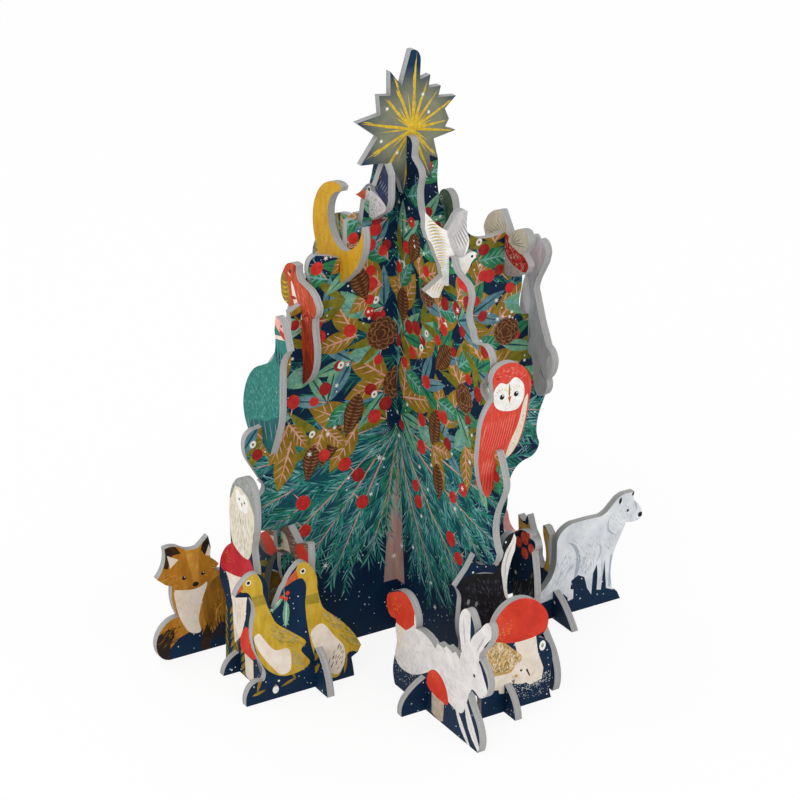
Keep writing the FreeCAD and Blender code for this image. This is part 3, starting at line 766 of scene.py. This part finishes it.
def drawPheasant():
    body = ((6, 48), (40, 62), (74, 60), (80, 36), (60, 14), (30, 6), (4, 20))
    fur(["plumeDark"], body, 150, -80, 2.6, 0.6, 40, 7)
    fur(["mist"], body, 110, -80, 2.4, 0.5, 40, 8)
    patch("plumeDark", (-5, -5), (20, 16), (52, 22), (86, 34), (80, -5))
    for i in range(6):
        brush("stone", (10 + 12 * i, 16 + 2 * i), (16 + 12 * i, 1 + 2 * i), 1.0)
    patch("cream", (60, 85), (108, 91.5), (108, 89), (62, 82.5))
    blob("blush", (72, 101), (90, 104), (108, 96), (100, 90), (84, 91), (74, 95))
    patch("berry", (84, 93), (104, 91), (102, 86), (86, 89))
    for i in range(4):
        brush("night", (76 + 6 * i, 80), (78 + 6 * i, 66), 1.8)
    spot("berry", 90, 58, 4.2, 0.6, 80)
    spot("coal", 88, 95.5, 0.9)


def drawSmallBird():
    patch("indigo", (66, 110), (112, 110), (112, 34), (90, 38), (62, 52), (58, 70))
    feathers("slate", (64, 66), (98, 48), 7, 50, 8, 0.6)
    blob("furShade", (20, 30), (36, 46), (58, 48), (92, 36), (92, 4), (60, -4), (34, -4))
    fur(["pelt", "slate"], ((30, 34), (56, 42), (88, 32), (80, 8), (40, 4)), 150, -40, 1.6, 0.4, 20, 9)
    patch("fir", (30, -6), (80, -6), (76, 5), (40, 7))
    patch("bill", (0, 29), (14, 37), (34, 46), (30, 31), (14, 24))
    eye(43, 49, 1.9, 1.4)


def drawWren():
    blob("sage", (10, 52), (40, 60), (58, 40), (50, 8), (20, 4), (4, 24))
    fur(["moss", "pelt"], ((20, 50), (50, 48), (46, 14), (22, 12)), 34, -80, 1.6, 0.4, 25, 10)
    feathers("plumeDark", (64, 70), (88, 40), 6, -110, 9)
    eye(32, 78, 1.5, 1.0)
    patch("bill", (-6, 60), (10, 70), (10, 62), (-6, 50))


def drawDove():
    patch("furShade", (40, 74), (64, 96), (86, 96), (82, 60), (72, 40), (58, 42), (48, 56))
    feathers("stone", (50, 66), (78, 92), 9, -62, 15, 0.6)
    feathers("snow", (54, 62), (82, 86), 8, -62, 14, 0.6)
    feathers("gold", (0, 90), (18, 34), 15, -8, 13, 0.6, 0.12)
    feathers("stone", (2, 86), (20, 32), 14, -8, 11, 0.5, 0.12)
    feathers("gold", (3, 8), (30, 3), 5, 62, 9, 0.5)
    spot("coal", 89, 39.5, 0.9)
    patch("ochre", (96, 41), (106, 38), (106, 34), (97, 36))


def drawCardinal():
    for i in range(7):
        brush("barnShade", (52, 60), (2 + 7 * i, 56 + 7 * i), 0.8)
    blob("berry", (42, 58), (50, 66), (60, 62), (72, 54), (90, 44), (102, 36), (100, 24), (84, 18), (66, 22),
         (50, 34))
    fur(["blush", "cream"], ((44, 56), (58, 58), (76, 44), (92, 34), (84, 22), (62, 26), (50, 40)),
        110, -50, 1.6, 0.5, 20, 12)
    blob("barn", (56, 56), (62, 72), (86, 90), (104, 84), (96, 58), (84, 46), (68, 50))
    for i in range(6):
        brush("barnShade", (62, 54), (66 + 6 * i, 86 - 5 * i), 0.8)
    patch("furShade", (46, 34), (64, 22), (88, 18), (84, -6), (40, -6))
    fur(["pelt", "blush"], ((48, 26), (66, 20), (82, 14), (74, 2), (50, 2)), 46, -80, 1.6, 0.4, 20, 11)
    patch("bill", (96, 32), (110, 34), (110, 24), (97, 25))
    spot("coal", 90, 36, 1.0)


def drawClimbingHare():
    everywhere = ((5, 5), (95, 5), (95, 95), (5, 95))
    fur(["iceShade", "stone"], everywhere, 180, -70, 4.5, 0.35, 16, 13)
    brush("slate", (30, 80), (26, 97), 2.4)
    brush("ice", (52, 78), (60, 98), 3.0)
    blob("ice", (8, 70), (22, 72), (30, 58), (24, 48), (10, 56))
    spot("coal", 26, 79, 1.1)
    blob("ice", (86, 28), (100, 30), (104, 20), (92, 14), (82, 20))
    brush("pelt", (66, 22), (84, 12), 0.8, -0.2)
    brush("pelt", (30, 44), (24, 28), 0.8, 0.1)


def drawRedOwl():
    feathers("owlStripe", (14, 58), (74, 62), 12, -106, 26, 1.0)
    feathers("berry", (17, 56), (76, 60), 12, -106, 24, 0.8)
    feathers("owlStripe", (10, 30), (54, 36), 8, -104, 15, 1.0)
    feathers("wine", (6, 20), (40, 22), 6, -96, 16, 0.7)
    fur(["owlStripe", "berry"], ((24, 92), (60, 97), (90, 88), (80, 86), (40, 88)), 50, 10, 3, 0.6, 40, 14)
    blob("barn", (94, 72), (88, 52), (72, 34), (52, 27), (60, 38), (76, 52), (86, 68))
    fur(["blush", "gooseWing"], ((90, 66), (86, 54), (70, 38), (64, 36), (80, 56)), 26, 30, 1.6, 0.4, 60, 15)
    blob("snow", (28, 80), (40, 86), (54, 84), (68, 88), (84, 82), (86, 72), (76, 64), (60, 63), (42, 65),
         (30, 70))
    for i in range(7):
        turn = 20 + 23 * i
        for x in (44, 71):
            start = polar(at(x, 75), turn, 4.2)
            paint("gold", stroke(start, polar(start, turn, 1.7), 0.6))
    brush("ochre", (58, 72), (58, 84), 1.4)
    for x in (44, 71):
        spot("coal", x, 75, 1.7)
        spot("snow", x + 1.5, 75.8, 0.5)
    patch("bill", (55, 74), (62, 74), (58.5, 69))


def drawWhiteOwl():
    for i in range(7):
        height = 3 + 4.2 * i
        for side in (-1, 1):
            brush("olive" if i % 2 else "ochre", (20 + side * 2, height - 3), (20 + side * 16, height + 5), 3.0)
            brush("ochre" if i % 2 else "olive", (44 + side * 2, height - 6), (44 + side * 14, height + 1), 3.0)
    patch("cream", (6, 50), (74, 50), (64, 40), (60, 30), (48, 19), (33, 13), (31, 20), (30, 32), (22, 43))
    fur(["barnShade"], ((34, 42), (56, 44), (46, 22), (36, 18)), 16, -80, 4.0, 0.4, 8, 16)
    toadstool(((2, 50), (7, 55), (20, 60), (34, 64), (56, 64), (74, 62), (84, 57), (82, 53), (64, 51),
               (40, 48), (14, 46), (5, 46)),
              ((20, 47), (34, 48), (33, 46), (24, 45)), 16, (22, 54, 5, 16), "crimson")
    toadstool(((46, 17), (50, 21), (60, 26), (70, 26), (82, 22), (85, 16), (78, 13), (60, 12), (48, 13)),
              ((56, 12), (76, 12), (76, 3), (66, 0), (57, 1)), 17, (72, 20, 3, 8))
    blob("barn", (30, 104), (60, 108), (96, 104), (98, 88), (84, 76), (82, 70), (72, 62), (58, 61), (43, 62),
         (33, 65), (29, 74), (28, 84))
    fur(["barnShade", "snow"], ((34, 84), (78, 84), (80, 74), (70, 64), (54, 63), (34, 68)),
        210, -86, 5.0, 0.5, 8, 18)
    patch("owlCrown", (26, 110), (104, 110), (100, 84), (86, 86), (74, 92), (58, 94), (44, 93), (34, 86),
          (28, 84))
    fur(["furShade"], ((34, 92), (44, 97), (74, 98), (88, 94), (74, 95), (50, 96)), 50, -70, 2.0, 0.5, 20, 19)
    blob("snow", (45, 91), (52, 92), (58, 90.5), (66, 92), (73, 89), (70, 84), (62, 83), (53, 83), (47, 86))
    spot("coal", 53, 88, 0.9)
    spot("coal", 65, 88, 0.9)
    patch("ochre", (57, 87), (61, 87), (59, 84.5))


def drawLog():
    blob("logBark", (22, 76), (30, 92), (50, 104), (70, 112), (92, 104), (88, 78), (76, 80), (60, 76),
         (44, 70), (30, 68))
    fur(["logWood", "cone"], ((36, 84), (60, 96), (84, 98), (80, 86), (62, 80), (44, 74)),
        80, 25, 5, 0.6, 10, 20)
    blob("barn", (37, 82), (45, 86), (51, 92), (56, 92), (60, 86), (61, 80), (54, 81), (45, 77))
    spot("logBark", 52, 86, 2.0, 0.7, 30)
    spot("logWood", 52, 86, 1.1, 0.7, 30)
    patch("logWood", (85, 104), (100, 104), (98, 76), (86, 78))
    blob("scarlet", (26, 80), (29, 84), (38, 83), (46, 77), (42, 71), (36, 69), (31, 73))
    blob("scarlet", (71, 94), (77, 94), (82, 89), (81, 84), (74, 82), (67, 87))
    for i in range(5):
        brush("ochre" if i % 2 else "olive", (22, 18 + 9 * i), (34 + i, 24 + 10 * i), 4.0)
        brush("ochre", (84, 8 + 9 * i), (92, 20 + 9 * i), 3.6)


# A holly leaf: a green blade with points along both sides and a pale midrib.
def hollyLeaf(start, end, width):
    a, b = at(*start), at(*end)
    turn = heading(a, b)
    for i in range(5):
        base = polar(a, turn, math.dist(a, b) * (0.15 + 0.17 * i))
        for side in (-1, 1):
            paint("sage", stroke(base, polar(base, turn + side * 50, width * 0.62), 1.4, 0.3))
    paint("sage", stroke(a, b, width, 0.5, 0.0, 8))
    paint("snow", stroke(a, b, 0.5))


def drawGeese():
    brush("sage", (38, 86), (39, 64), 0.8)
    hollyLeaf((38, 78), (27, 68), 4.2)
    hollyLeaf((40, 74), (39, 53), 4.8)
    for x, y in ((36.5, 77), (41, 79), (39.5, 75)):
        spot("scarlet", x, y, 1.5)
    brush("ochre", (20, 24), (15, 8), 2.6)
    brush("ochre", (11, 7), (22, 9), 2.4)
    brush("ochre", (43, 20), (46, 10), 1.8)
    brush("ochre", (34, 8), (47, 12), 2.2)
    brush("ochre", (88, 20), (86, 4), 2.6)
    blob("goose", (2, 94), (8, 104), (16, 101), (21, 92), (22, 82), (27, 68), (32, 58), (44, 48), (55, 38),
         (51, 32), (58, 21), (50, 16), (36, 16), (24, 24), (17, 36), (13, 52), (12, 66), (13, 80), (10, 87),
         (5, 89))
    patch("gooseBand", (13, 83), (22, 83), (24.5, 75), (12, 75))
    fur(["gooseWing", "gooseBand"], ((24, 60), (30, 58), (50, 42), (50, 36), (38, 40), (28, 48)),
        46, -42, 6.0, 0.9, 10, 44)
    fur(["gooseWing"], ((43, 34), (50, 34), (54, 22), (48, 18), (43, 22)), 22, -50, 4.5, 0.9, 14, 45)
    blob("cream", (14, 52), (18, 54), (22, 48), (30, 38), (41, 36), (43, 24), (41, 18), (34, 18), (27, 26),
         (20, 36), (15, 46))
    patch("bill", (-4, 85), (-2, 89), (5, 98), (6.5, 91))
    eye(10.5, 94.5, 1.9, 1.2)
    blob("goose", (47, 92), (52, 101), (60, 97), (64, 88), (65, 78), (67, 66), (72, 57), (89, 44), (104, 28),
         (108, 14), (90, 20), (82, 4), (72, 6), (62, 24), (57, 46), (55, 66), (56, 80), (53, 87), (48, 88))
    patch("gooseBand", (55.5, 73), (65.5, 73), (66.5, 65), (55.5, 66))
    fur(["gooseWing", "gooseBand"], ((66, 56), (72, 56), (92, 38), (98, 26), (88, 28), (76, 44)),
        80, -42, 6.0, 0.9, 10, 46)
    blob("cream", (59, 42), (64, 48), (70, 47), (78, 36), (86, 25), (86, 12), (80, 5), (72, 11), (64, 26))
    fur(["coal"], ((72, 16), (82, 27), (85, 22), (83, 10), (76, 8)), 22, 62, 3.6, 0.5, 10, 21)
    patch("bill", (36, 83), (40, 88), (48, 95), (50, 88), (46, 87))
    eye(53.5, 92.5, 1.9, 1.2)
    spot("snow", 30, 7, 2.8, 0.8, 90)
    spot("gooseWing", 30, 10, 0.8)


def drawFox():
    blob("foxFlank", (38, 56), (50, 64), (70, 58), (90, 50), (104, 34), (102, 4), (60, 14), (48, 20), (38, 20),
         (34, 38))
    fur(["foxCoat", "foxPale"], ((42, 50), (60, 56), (90, 46), (92, 26), (56, 24), (42, 26)),
        130, -80, 4.5, 0.5, 12, 22)
    brush("foxPale", (52, 40), (44, 22), 1.0, -0.25)
    patch("night", (6, -4), (9, 9), (16, 17), (26, 21), (33, 19), (33, -4))
    patch("night", (37, -4), (39, 12), (47, 22), (56, 17), (70, 15), (84, 20), (104, 18), (104, -4))
    patch("foxPale", (76, 36), (80, 58), (92, 56), (104, 40), (94, 30), (84, 28))
    fur(["furWhite", "foxPale"], ((80, 34), (94, 46), (98, 42), (86, 30)), 40, 215, 4.0, 0.6, 12, 21)
    blob("foxSock", (-4, 4), (-3, 18), (5, 26), (12, 26), (13, 20), (10, 12), (7, -4))
    fur(["foxSock", "foxFlank"], ((2, 24), (12, 30), (20, 28), (18, 20), (10, 14)), 60, 220, 4.0, 0.6, 14, 20)
    patch("foxSock", (32, -4), (38, -4), (40, 14), (37, 24), (33, 14))
    fur(["foxSock"], ((32, 24), (50, 28), (52, 14), (38, 12)), 60, -85, 6, 0.8, 10, 23)
    blob("cream", (16, 62), (37, 62), (34, 46), (31, 30), (32, 18), (24, 20), (18, 33), (15, 48))
    fur(["furWhite"], ((20, 52), (33, 52), (30, 28), (22, 28)), 30, -85, 4, 0.5, 10, 24)
    blob("foxCoat", (-4, 71), (5, 66), (16, 60), (29, 57), (38, 61), (50, 73), (46, 88), (42, 108), (28, 97),
         (6, 104), (2, 84))
    patch("foxPale", (21, 100), (33, 100), (31.5, 66), (30, 61), (28, 66))
    patch("foxSock", (5, 104), (7, 82), (10, 80), (14, 91), (20, 91), (16, 98))
    patch("foxSock", (39, 108), (34, 90), (37, 84), (41, 90), (43, 82), (44, 104))
    patch("cream", (10, 92), (18, 86), (12, 80))
    patch("cream", (40, 93), (37, 84), (42, 82))
    fur(["foxPale"], ((6, 74), (18, 76), (24, 66), (14, 64)), 26, 200, 3, 0.5, 14, 25)
    fur(["foxPale"], ((36, 74), (44, 76), (44, 68), (36, 66)), 20, -20, 3, 0.5, 14, 26)
    spot("coal", 21.5, 69, 1.5)
    spot("coal", 35, 69, 1.4)
    spot("snow", 22, 69.6, 0.45)
    spot("snow", 35.4, 69.6, 0.45)
    spot("coal", 29.6, 61, 2.3, 0.75)


def drawHare():
    toadstool(((-3, 54), (0, 64), (11, 73), (19, 76), (27, 70), (29, 60), (28, 51), (19, 48.5), (8, 48.5),
               (0, 48)),
              ((9, 49), (23, 49), (22, 24), (9, 24)), 27, (10, 62, 6, 22))
    fur(["stone"], ((10, 46), (16, 46), (16, 36), (10, 34)), 14, -70, 1.2, 0.4, 40, 27)
    fur(["snow"], ((6, 26), (36, 26), (36, 17), (6, 15)), 150, -80, 0.5, 0.5, 60, 28)
    fur(["snow"], ((6, 18), (34, 18), (36, 8), (6, 8)), 60, -80, 0.5, 0.5, 60, 43)
    blob("furWhite", (23, 52), (30, 59), (40, 60), (54, 60), (68, 62), (72, 50), (60, 40), (44, 32), (34, 24),
         (24, 18), (13, 17),
         (8, 24), (14, 34), (18, 46))
    fur(["furShade"], ((16, 34), (26, 44), (36, 44), (34, 28), (24, 20), (12, 22)), 70, -50, 3.4, 0.5, 14, 29)
    fur(["stone"], ((36, 56), (50, 56), (68, 58), (66, 48), (52, 50), (44, 50)), 26, -40, 2.2, 0.4, 14, 41)
    brush("snow", (28, 66), (30, 52), 3.0)
    brush("stone", (52, 58), (66, 46), 0.6, 0.12)
    spot("coal", 71, 54, 0.8)
    spot("pelt", 73, 49.5, 0.7)
    blob("furWhite", (70, 62), (76, 68), (88, 68), (94, 58), (99, 46), (94, 40), (84, 44), (80, 36), (74, 20),
         (62, 20), (48, 28), (38, 38), (52, 52))
    blob("furWhite", (71, 100), (80, 102), (81, 84), (80, 68), (73, 66), (70, 84))
    blob("furWhite", (80, 66), (82, 80), (90, 92), (100, 106), (104, 98), (94, 82), (88, 66))
    brush("furShade", (76, 72), (74.5, 92), 1.8)
    brush("furShade", (86, 72), (95, 91), 1.8)
    fur(["furShade"], ((56, 48), (74, 46), (72, 28), (52, 32)), 46, -35, 4, 0.4, 14, 30)
    brush("furWhite", (66, 26), (84, -4), 4.6, -0.05)
    brush("furWhite", (76, 36), (94, -3), 7.5, -0.08)
    brush("furShade", (75, 34), (90, 2), 0.8, -0.05)
    toadstool(((40, 22), (42, 31), (48, 36), (55, 34), (60, 26), (60, 17), (50, 16.5), (43, 18)),
              ((45, 18), (56, 18), (55, 2), (45, 2)), 31, (45, 29, 3, 4))
    patch("logWood", (45, 16.5), (57, 16.5), (56, 2), (53, 0), (45, 2))
    spot("coal", 85, 55, 1.2)
    brush("stone", (92, 45), (96, 43), 0.7, 0.2)
    spot("gooseWing", 91, 41, 0.8)


def drawBadger():
    blob("coal", (34, 64), (36, 78), (46, 80), (57, 77), (60, 84), (62, 92), (68, 104), (76, 100), (78, 70),
         (76, 34), (60, 24), (48, 26), (40, 42))
    fur(["pelt", "hairGrey", "pelt"], ((38, 72), (46, 77), (57, 74), (66, 60), (66, 42), (58, 34), (46, 36),
        (40, 50)), 260, -65, 4.0, 0.45, 24, 32)
    brush("stone", (45, 80.0), (57, 76.8), 0.9, 0.04)
    patch("night", (70, 102), (72, 86), (70, 66), (68, 57), (80, 50), (110, 60), (104, 110))
    blob("snow", (70, 101), (72, 96), (72, 88), (68.5, 79), (67, 70), (67, 58), (64, 60), (62, 72), (61.5, 80),
         (64, 89), (67.5, 95))
    brush("furShade", (64, 70), (70, 96), 1.0, 0.1)
    spot("stone", 58.5, 83, 1.9)
    spot("blush", 58.5, 83, 0.9)
    spot("snow", 64, 95, 0.7)
    for x, y in ((41, 63), (46, 60), (42, 57), (45, 53)):
        spot("slate", x, y, 1.9, 0.6, 80)
    patch("furShade", (46, 28), (60, 34), (62, 28), (54, 22))
    patch("night", (-4, -4), (-4, 26), (34, 30), (48, 26), (62, 26), (80, 36), (104, 26), (104, -4))
    snowflake(at(16, 12), 1.8)
    snowflake(at(80, 16), 1.8)


def drawHedgehog():
    patch("cream", (47, 64), (57, 66), (76, 66), (80, 46), (88, 30), (86, 20), (70, 18), (60, 24), (56, 40))
    fur(["furWhite"], ((62, 60), (74, 60), (82, 30), (66, 30)), 36, -80, 4, 0.5, 8, 33)
    blob("straw", (-4, 50), (3, 62), (11, 69), (29, 67), (46, 56), (58, 47), (54, 40), (44, 33), (20, 34),
         (4, 42))
    fur(["strawPale", "strawPale", "cream", "olive"], ((-4, 56), (12, 66), (28, 64), (54, 46), (42, 36),
        (20, 38), (4, 44)), 330, 60, 3.2, 0.6, 60, 34)
    blob("cream", (44, 35), (52, 42), (58, 40), (65, 35), (72, 29), (72, 24), (62, 21), (54, 22), (44, 24),
         (26, 22), (10, 27), (14, 35), (30, 35))
    patch("cream", (26, 26), (38, 26), (35, 17), (29, 18))
    brush("furShade", (44, 33), (48, 25), 0.8, 0.1)
    spot("coal", 58, 34, 1.0)
    spot("snow", 58.6, 34.5, 0.35)
    patch("foxSock", (64, 33), (66, 34), (70, 27), (69, 26))
    spot("foxPale", 51, 30, 1.4, 0.7)
    patch("logBark", (45, 27), (50, 27), (48, 23))
    blob("scarlet", (17, 70), (20, 79), (26, 92), (44, 100), (66, 102), (86, 92), (97, 76), (94, 66), (84, 63),
         (70, 61), (46, 61.5), (27, 66))
    goldSpecks(31, 77, 8, 34, 35)
    fur(["snow"], ((48, 22), (96, 26), (98, 17), (58, 14)), 230, -80, 0.45, 0.45, 60, 36)
    fur(["snow"], ((50, 16), (96, 20), (98, 8), (60, 6)), 90, -80, 0.45, 0.45, 60, 42)
    spot("snow", 86, 51, 2.4, 1.5)
    spot("barnShade", 86, 51, 1.1, 1.4)


def drawHollyTwig():
    patch("coal", (-6, 74), (2, 60), (18, 62), (36, 66), (50, 80), (56, 80), (80, -4), (-6, -4))
    fur(["slate"], ((-4, 58), (16, 58), (34, 62), (50, 74), (50, 30), (0, 30)), 90, 80, 5, 0.35, 12, 37)
    for x, y, radius in ((28, 94.5, 4.4), (43, 90, 3.6), (15, 89, 3.8), (29, 84, 4.0), (10, 98, 2.8),
                         (36, 99, 2.6)):
        spot("night", x, y, radius + 0.5)
        # the coral berry ink is partly painted light: the print's red, lightened to offset the shade on this
        # board
        spot("coral", x, y, radius)
        brush("scarlet", (x - 3, y - 2), (x + 3, y - 2.6), 1.6, -0.2)
    snowflake(at(10, 66), 2.0)
    spot("snow", 30, 76, 0.5)


def drawArcticFox():
    blob("iceShade", (31, 68), (38, 64), (42, 54), (42, 42), (37, 30), (39, 50), (36, 62))
    fur(["iceShade", "furWhite"], ((30, 66), (60, 78), (80, 92), (90, 76), (76, 56), (50, 50), (34, 50)),
        130, -60, 4.5, 0.4, 18, 38)
    fur(["iceShade"], ((6, 24), (10, 34), (20, 48), (30, 56), (34, 40), (22, 26)), 90, 60, 4.5, 0.4, 14, 39)
    fur(["iceShade"], ((42, 48), (54, 56), (56, 44), (48, 36)), 50, -100, 4.0, 0.4, 14, 40)
    brush("iceShade", (59, 64), (56, 40), 1.0, 0.2)
    brush("iceShade", (70, 84), (78, 62), 1.4, -0.3)
    brush("stone", (63, 46), (64, 24), 0.6)
    blob("iceShade", (71, 44), (74, 40), (73, 20), (70, 16))
    patch("night", (-6, 8), (4, 17), (20, 19), (28, 20), (33, 14), (35, 31), (41, 34.5), (47, 31), (50, 19),
          (54, 12), (55, 32), (58.5, 40), (59.4, 30), (59, 15), (63, 14), (65.6, 42), (68, 14), (74, 11),
          (80, 10), (104, 14), (104, -6), (-6, -6))
    patch("ice", (31, 24), (37, 22), (37, 13), (32, 12))
    brush("coal", (78, 91), (79.4, 98), 2.4)
    brush("coal", (90, 96), (91, 100), 1.8)
    brush("iceShade", (91.5, 95), (95, 81), 1.2)
    spot("coal", 86, 83.5, 1.1)
    spot("coal", 98, 76.5, 1.9)
    brush("stone", (90, 72), (97, 73), 0.7, -0.2)


def drawFoxCubs():
    # the honey coat of the cubs is partly painted light: their ochre, lightened to offset the shade on this
    # board
    patch("honey", (44, 100), (50, 94), (52, 88), (58, 88), (61, 104), (66, 108), (66, 82), (58, 80), (52, 66),
          (46, 66))
    blob("honey", (68, 58), (71, 80), (68, 106), (84, 110), (90, 90), (84, 56), (76, 50))
    patch("foxSock", (46, 104), (52, 98), (51, 92), (47, 90))
    patch("foxSock", (60, 106), (66, 108), (65, 94), (60, 98))
    brush("furWhite", (75, 92), (78, 56), 2.6, 0.1)
    spot("coal", 55, 80, 1.0)
    brush("coal", (77, 97), (79, 93), 0.9)
    spot("coal", 73, 101, 1.6)
    fur(["foxCoat", "furWhite"], ((48, 84), (62, 84), (62, 72), (50, 70)), 22, -80, 3, 0.5, 12, 40)
    fur(["foxCoat"], ((80, 90), (86, 90), (84, 62), (80, 62)), 22, -80, 3, 0.5, 12, 41)
    snowflake(at(20, 14), 1.8)
    snowflake(at(84, 20), 1.6)


def drawBullfinch():
    blob("blush", (30, 50), (50, 70), (64, 100), (84, 104), (92, 80), (92, 50), (80, 40), (46, 44))
    feathers("cream", (60, 88), (80, 50), 8, -70, 14, 1.0)
    blob("cream", (66, 46), (80, 48), (94, 46), (90, 30), (70, 30))
    patch("stone", (30, 54), (44, 66), (40, 44), (28, 44))


def drawRobin():
    blob("bill", (8, 62), (24, 74), (38, 50), (40, 16), (26, 8), (12, 30))
    feathers("logBark", (44, 60), (76, 44), 8, -40, 13, 0.8)
    fur(["gooseWing"], ((14, 60), (30, 60), (32, 24), (20, 20)), 40, -70, 2.4, 0.5, 20, 42)
    blob("cream", (26, 14), (50, 16), (56, 2), (34, -4))
    patch("foxSock", (-4, 72), (10, 74), (8, 66), (-4, 66))
    eye(18, 84, 1.6, 1.1)


def drawWoodpecker():
    patch("coal", (-4, 104), (50, 104), (60, 84), (40, 78), (20, 80), (-4, 60))
    blob("cream", (40, 84), (62, 82), (66, 60), (56, 36), (44, 30), (38, 56))
    feathers("snow", (8, 66), (26, 20), 9, -20, 7, 1.0)
    patch("berry", (24, 104), (52, 104), (56, 94), (30, 92))
    patch("scarlet", (20, 20), (52, 34), (44, 8), (18, -4))
    patch("stone", (58, 96), (104, 94), (104, 88), (58, 86))
    eye(50, 90, 1.4, 0.9)


def drawDeer():
    fur(["foxPale", "cone"], ((10, 60), (50, 62), (72, 70), (78, 50), (66, 26), (14, 24)),
        170, -80, 4.5, 0.5, 14, 43)
    for x, y in ((20, 56), (28, 50), (36, 58), (44, 50), (52, 57), (30, 42), (46, 41)):
        spot("cream", x, y, 1.5)
    blob("cream", (70, 76), (78, 74), (80, 54), (76, 40), (70, 50))
    patch("night", (16, 14), (24, 40), (34, 44), (52, 44), (66, 40), (68, 14), (50, 30), (34, 30))
    patch("night", (-6, 14), (30, 15), (60, 14), (106, 14), (106, -6), (-6, -6))
    brush("cream", (66, 96), (64, 86), 2.2)
    brush("cream", (74, 98), (72, 88), 2.0)
    spot("coal", 79, 83, 1.2)
    spot("coal", 90, 79.5, 1.6)
    for i in range(6):
        snowflake(at(10 + 16 * i, 7), 1.5)


# What draws each figure, and the ink that its whole board is printed with first.
figures = {
    "star": (drawStar, "starGlow"), "moon": (drawMoon, "moonGold"), "squirrel": (drawSquirrel, "squirrelCoat"),
    "pheasant": (drawPheasant, "plume"), "small_bird": (drawSmallBird, "slate"), "wren": (drawWren, "moss"),
    "dove": (drawDove, "snow"), "cardinal": (drawCardinal, "barn"),
    # the climbing hare's hareBlue ground is partly painted light: its print colour, lightened to offset the
    # shade on that board
    "climbing_hare": (drawClimbingHare, "hareBlue"), "red_owl": (drawRedOwl, "owlRed"),
    "white_owl": (drawWhiteOwl, "night"), "log": (drawLog, "night"), "geese": (drawGeese, "night"),
    "fox": (drawFox, "foxCoat"), "hare": (drawHare, "night"), "badger": (drawBadger, "night"),
    "hedgehog": (drawHedgehog, "night"), "holly_twig": (drawHollyTwig, "night"),
    "arctic_fox": (drawArcticFox, "ice"), "fox_cubs": (drawFoxCubs, "night"),
    "bullfinch": (drawBullfinch, "night"), "robin": (drawRobin, "straw"),
    "woodpecker": (drawWoodpecker, "pelt"), "deer": (drawDeer, "deerCoat"),
}
for node, (draw, ground) in figures.items():
    newSheet(node)
    draw()
    finishSheet(ground)

for node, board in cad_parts.items():
    thin = thinAxis(*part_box(node))
    name = "greyboardWide" if thin == 1 else "greyboardCross"
    material = bpy.data.materials.get(name) or makeGreyboard(name, thin)
    for slot in board.material_slots:
        slot.material = material
print("cut edges dressed")


# The floor is 16 m wide, so that its edge is never seen. Its glow is the share of plain white
# that the camera sees on it.
studio = {
    "floor": "#fbfbfb", "floorReach": 8.0, "floorRoughness": 0.9, "glow": 0.88, "world": 0.92,
    "key": 9.0, "keySize": 1.4, "keyPlace": (-1.2, -1.0, 1.7), "keyAim": (0, 0, 0.15),
}
view = {
    "azimuth": -31.0, "elevation": 23.3, "distance": 1.615, "target": (0.0011, -0.00066, 0.1638),
    "lens": 112.5, "sensor": 36,
}


# 1 for the rays that look at the background, in person, in a mirror or through glass.
def showsBackground(tree):
    path = add(tree, "ShaderNodeLightPath").outputs
    straight = calculate(tree, "MAXIMUM", path["Is Camera Ray"], path["Is Glossy Ray"])
    return calculate(tree, "MAXIMUM", straight, path["Is Transmission Ray"])


# A matt white paper sweep: an even pale ground with the soft shadow of the boards on it.
def makeFloor():
    material, tree, shader = newMaterial("paleFloor")
    share = calculate(tree, "MULTIPLY", showsBackground(tree), studio["glow"])
    white = add(tree, "ShaderNodeEmission", {"Color": (1, 1, 1, 1), "Strength": 1.0})
    both = add(tree, "ShaderNodeMixShader", {0: share, 1: shader.outputs["BSDF"], 2: white.outputs["Emission"]})
    tree.links.new(both.outputs["Shader"], tree.nodes["Material Output"].inputs["Surface"])
    shader.inputs["Base Color"].default_value = linear(studio["floor"])
    shader.inputs["Roughness"].default_value = studio["floorRoughness"]
    shader.inputs["Specular IOR Level"].default_value = 0.0
    plane = bmesh.new()
    bmesh.ops.create_grid(plane, x_segments=1, y_segments=1, size=studio["floorReach"])
    mesh = bpy.data.meshes.new("floor")
    plane.to_mesh(mesh)
    plane.free()
    mesh.materials.append(material)
    floor = show("floor", mesh)


def makeLight():
    world = bpy.data.worlds.new("studio")
    bpy.context.scene.world = world
    world.use_nodes = True
    background = world.node_tree.nodes["Background"]
    background.inputs["Color"].default_value = (1, 1, 1, 1)
    background.inputs["Strength"].default_value = studio["world"]
    lamp = bpy.data.lights.new("key", "AREA")
    lamp.energy = studio["key"]
    lamp.size = studio["keySize"]
    key = show("key", lamp)
    key.location = studio["keyPlace"]
    key.rotation_euler = (Vector(studio["keyAim"]) - key.location).to_track_quat("-Z", "Y").to_euler()


def makeCamera():
    around, up = math.radians(view["azimuth"]), math.radians(view["elevation"])
    back = Vector((math.cos(up) * math.sin(around), -math.cos(up) * math.cos(around), math.sin(up)))
    lens = bpy.data.cameras.new("camera")
    lens.lens = view["lens"]
    lens.sensor_width = view["sensor"]
    camera = show("camera", lens)
    camera.location = Vector(view["target"]) + back * view["distance"]
    camera.rotation_euler = (-back).to_track_quat("-Z", "Y").to_euler()
    bpy.context.scene.camera = camera


makeFloor()
makeLight()
makeCamera()
bpy.context.scene.view_settings.view_transform = "Standard"
print("studio ready")
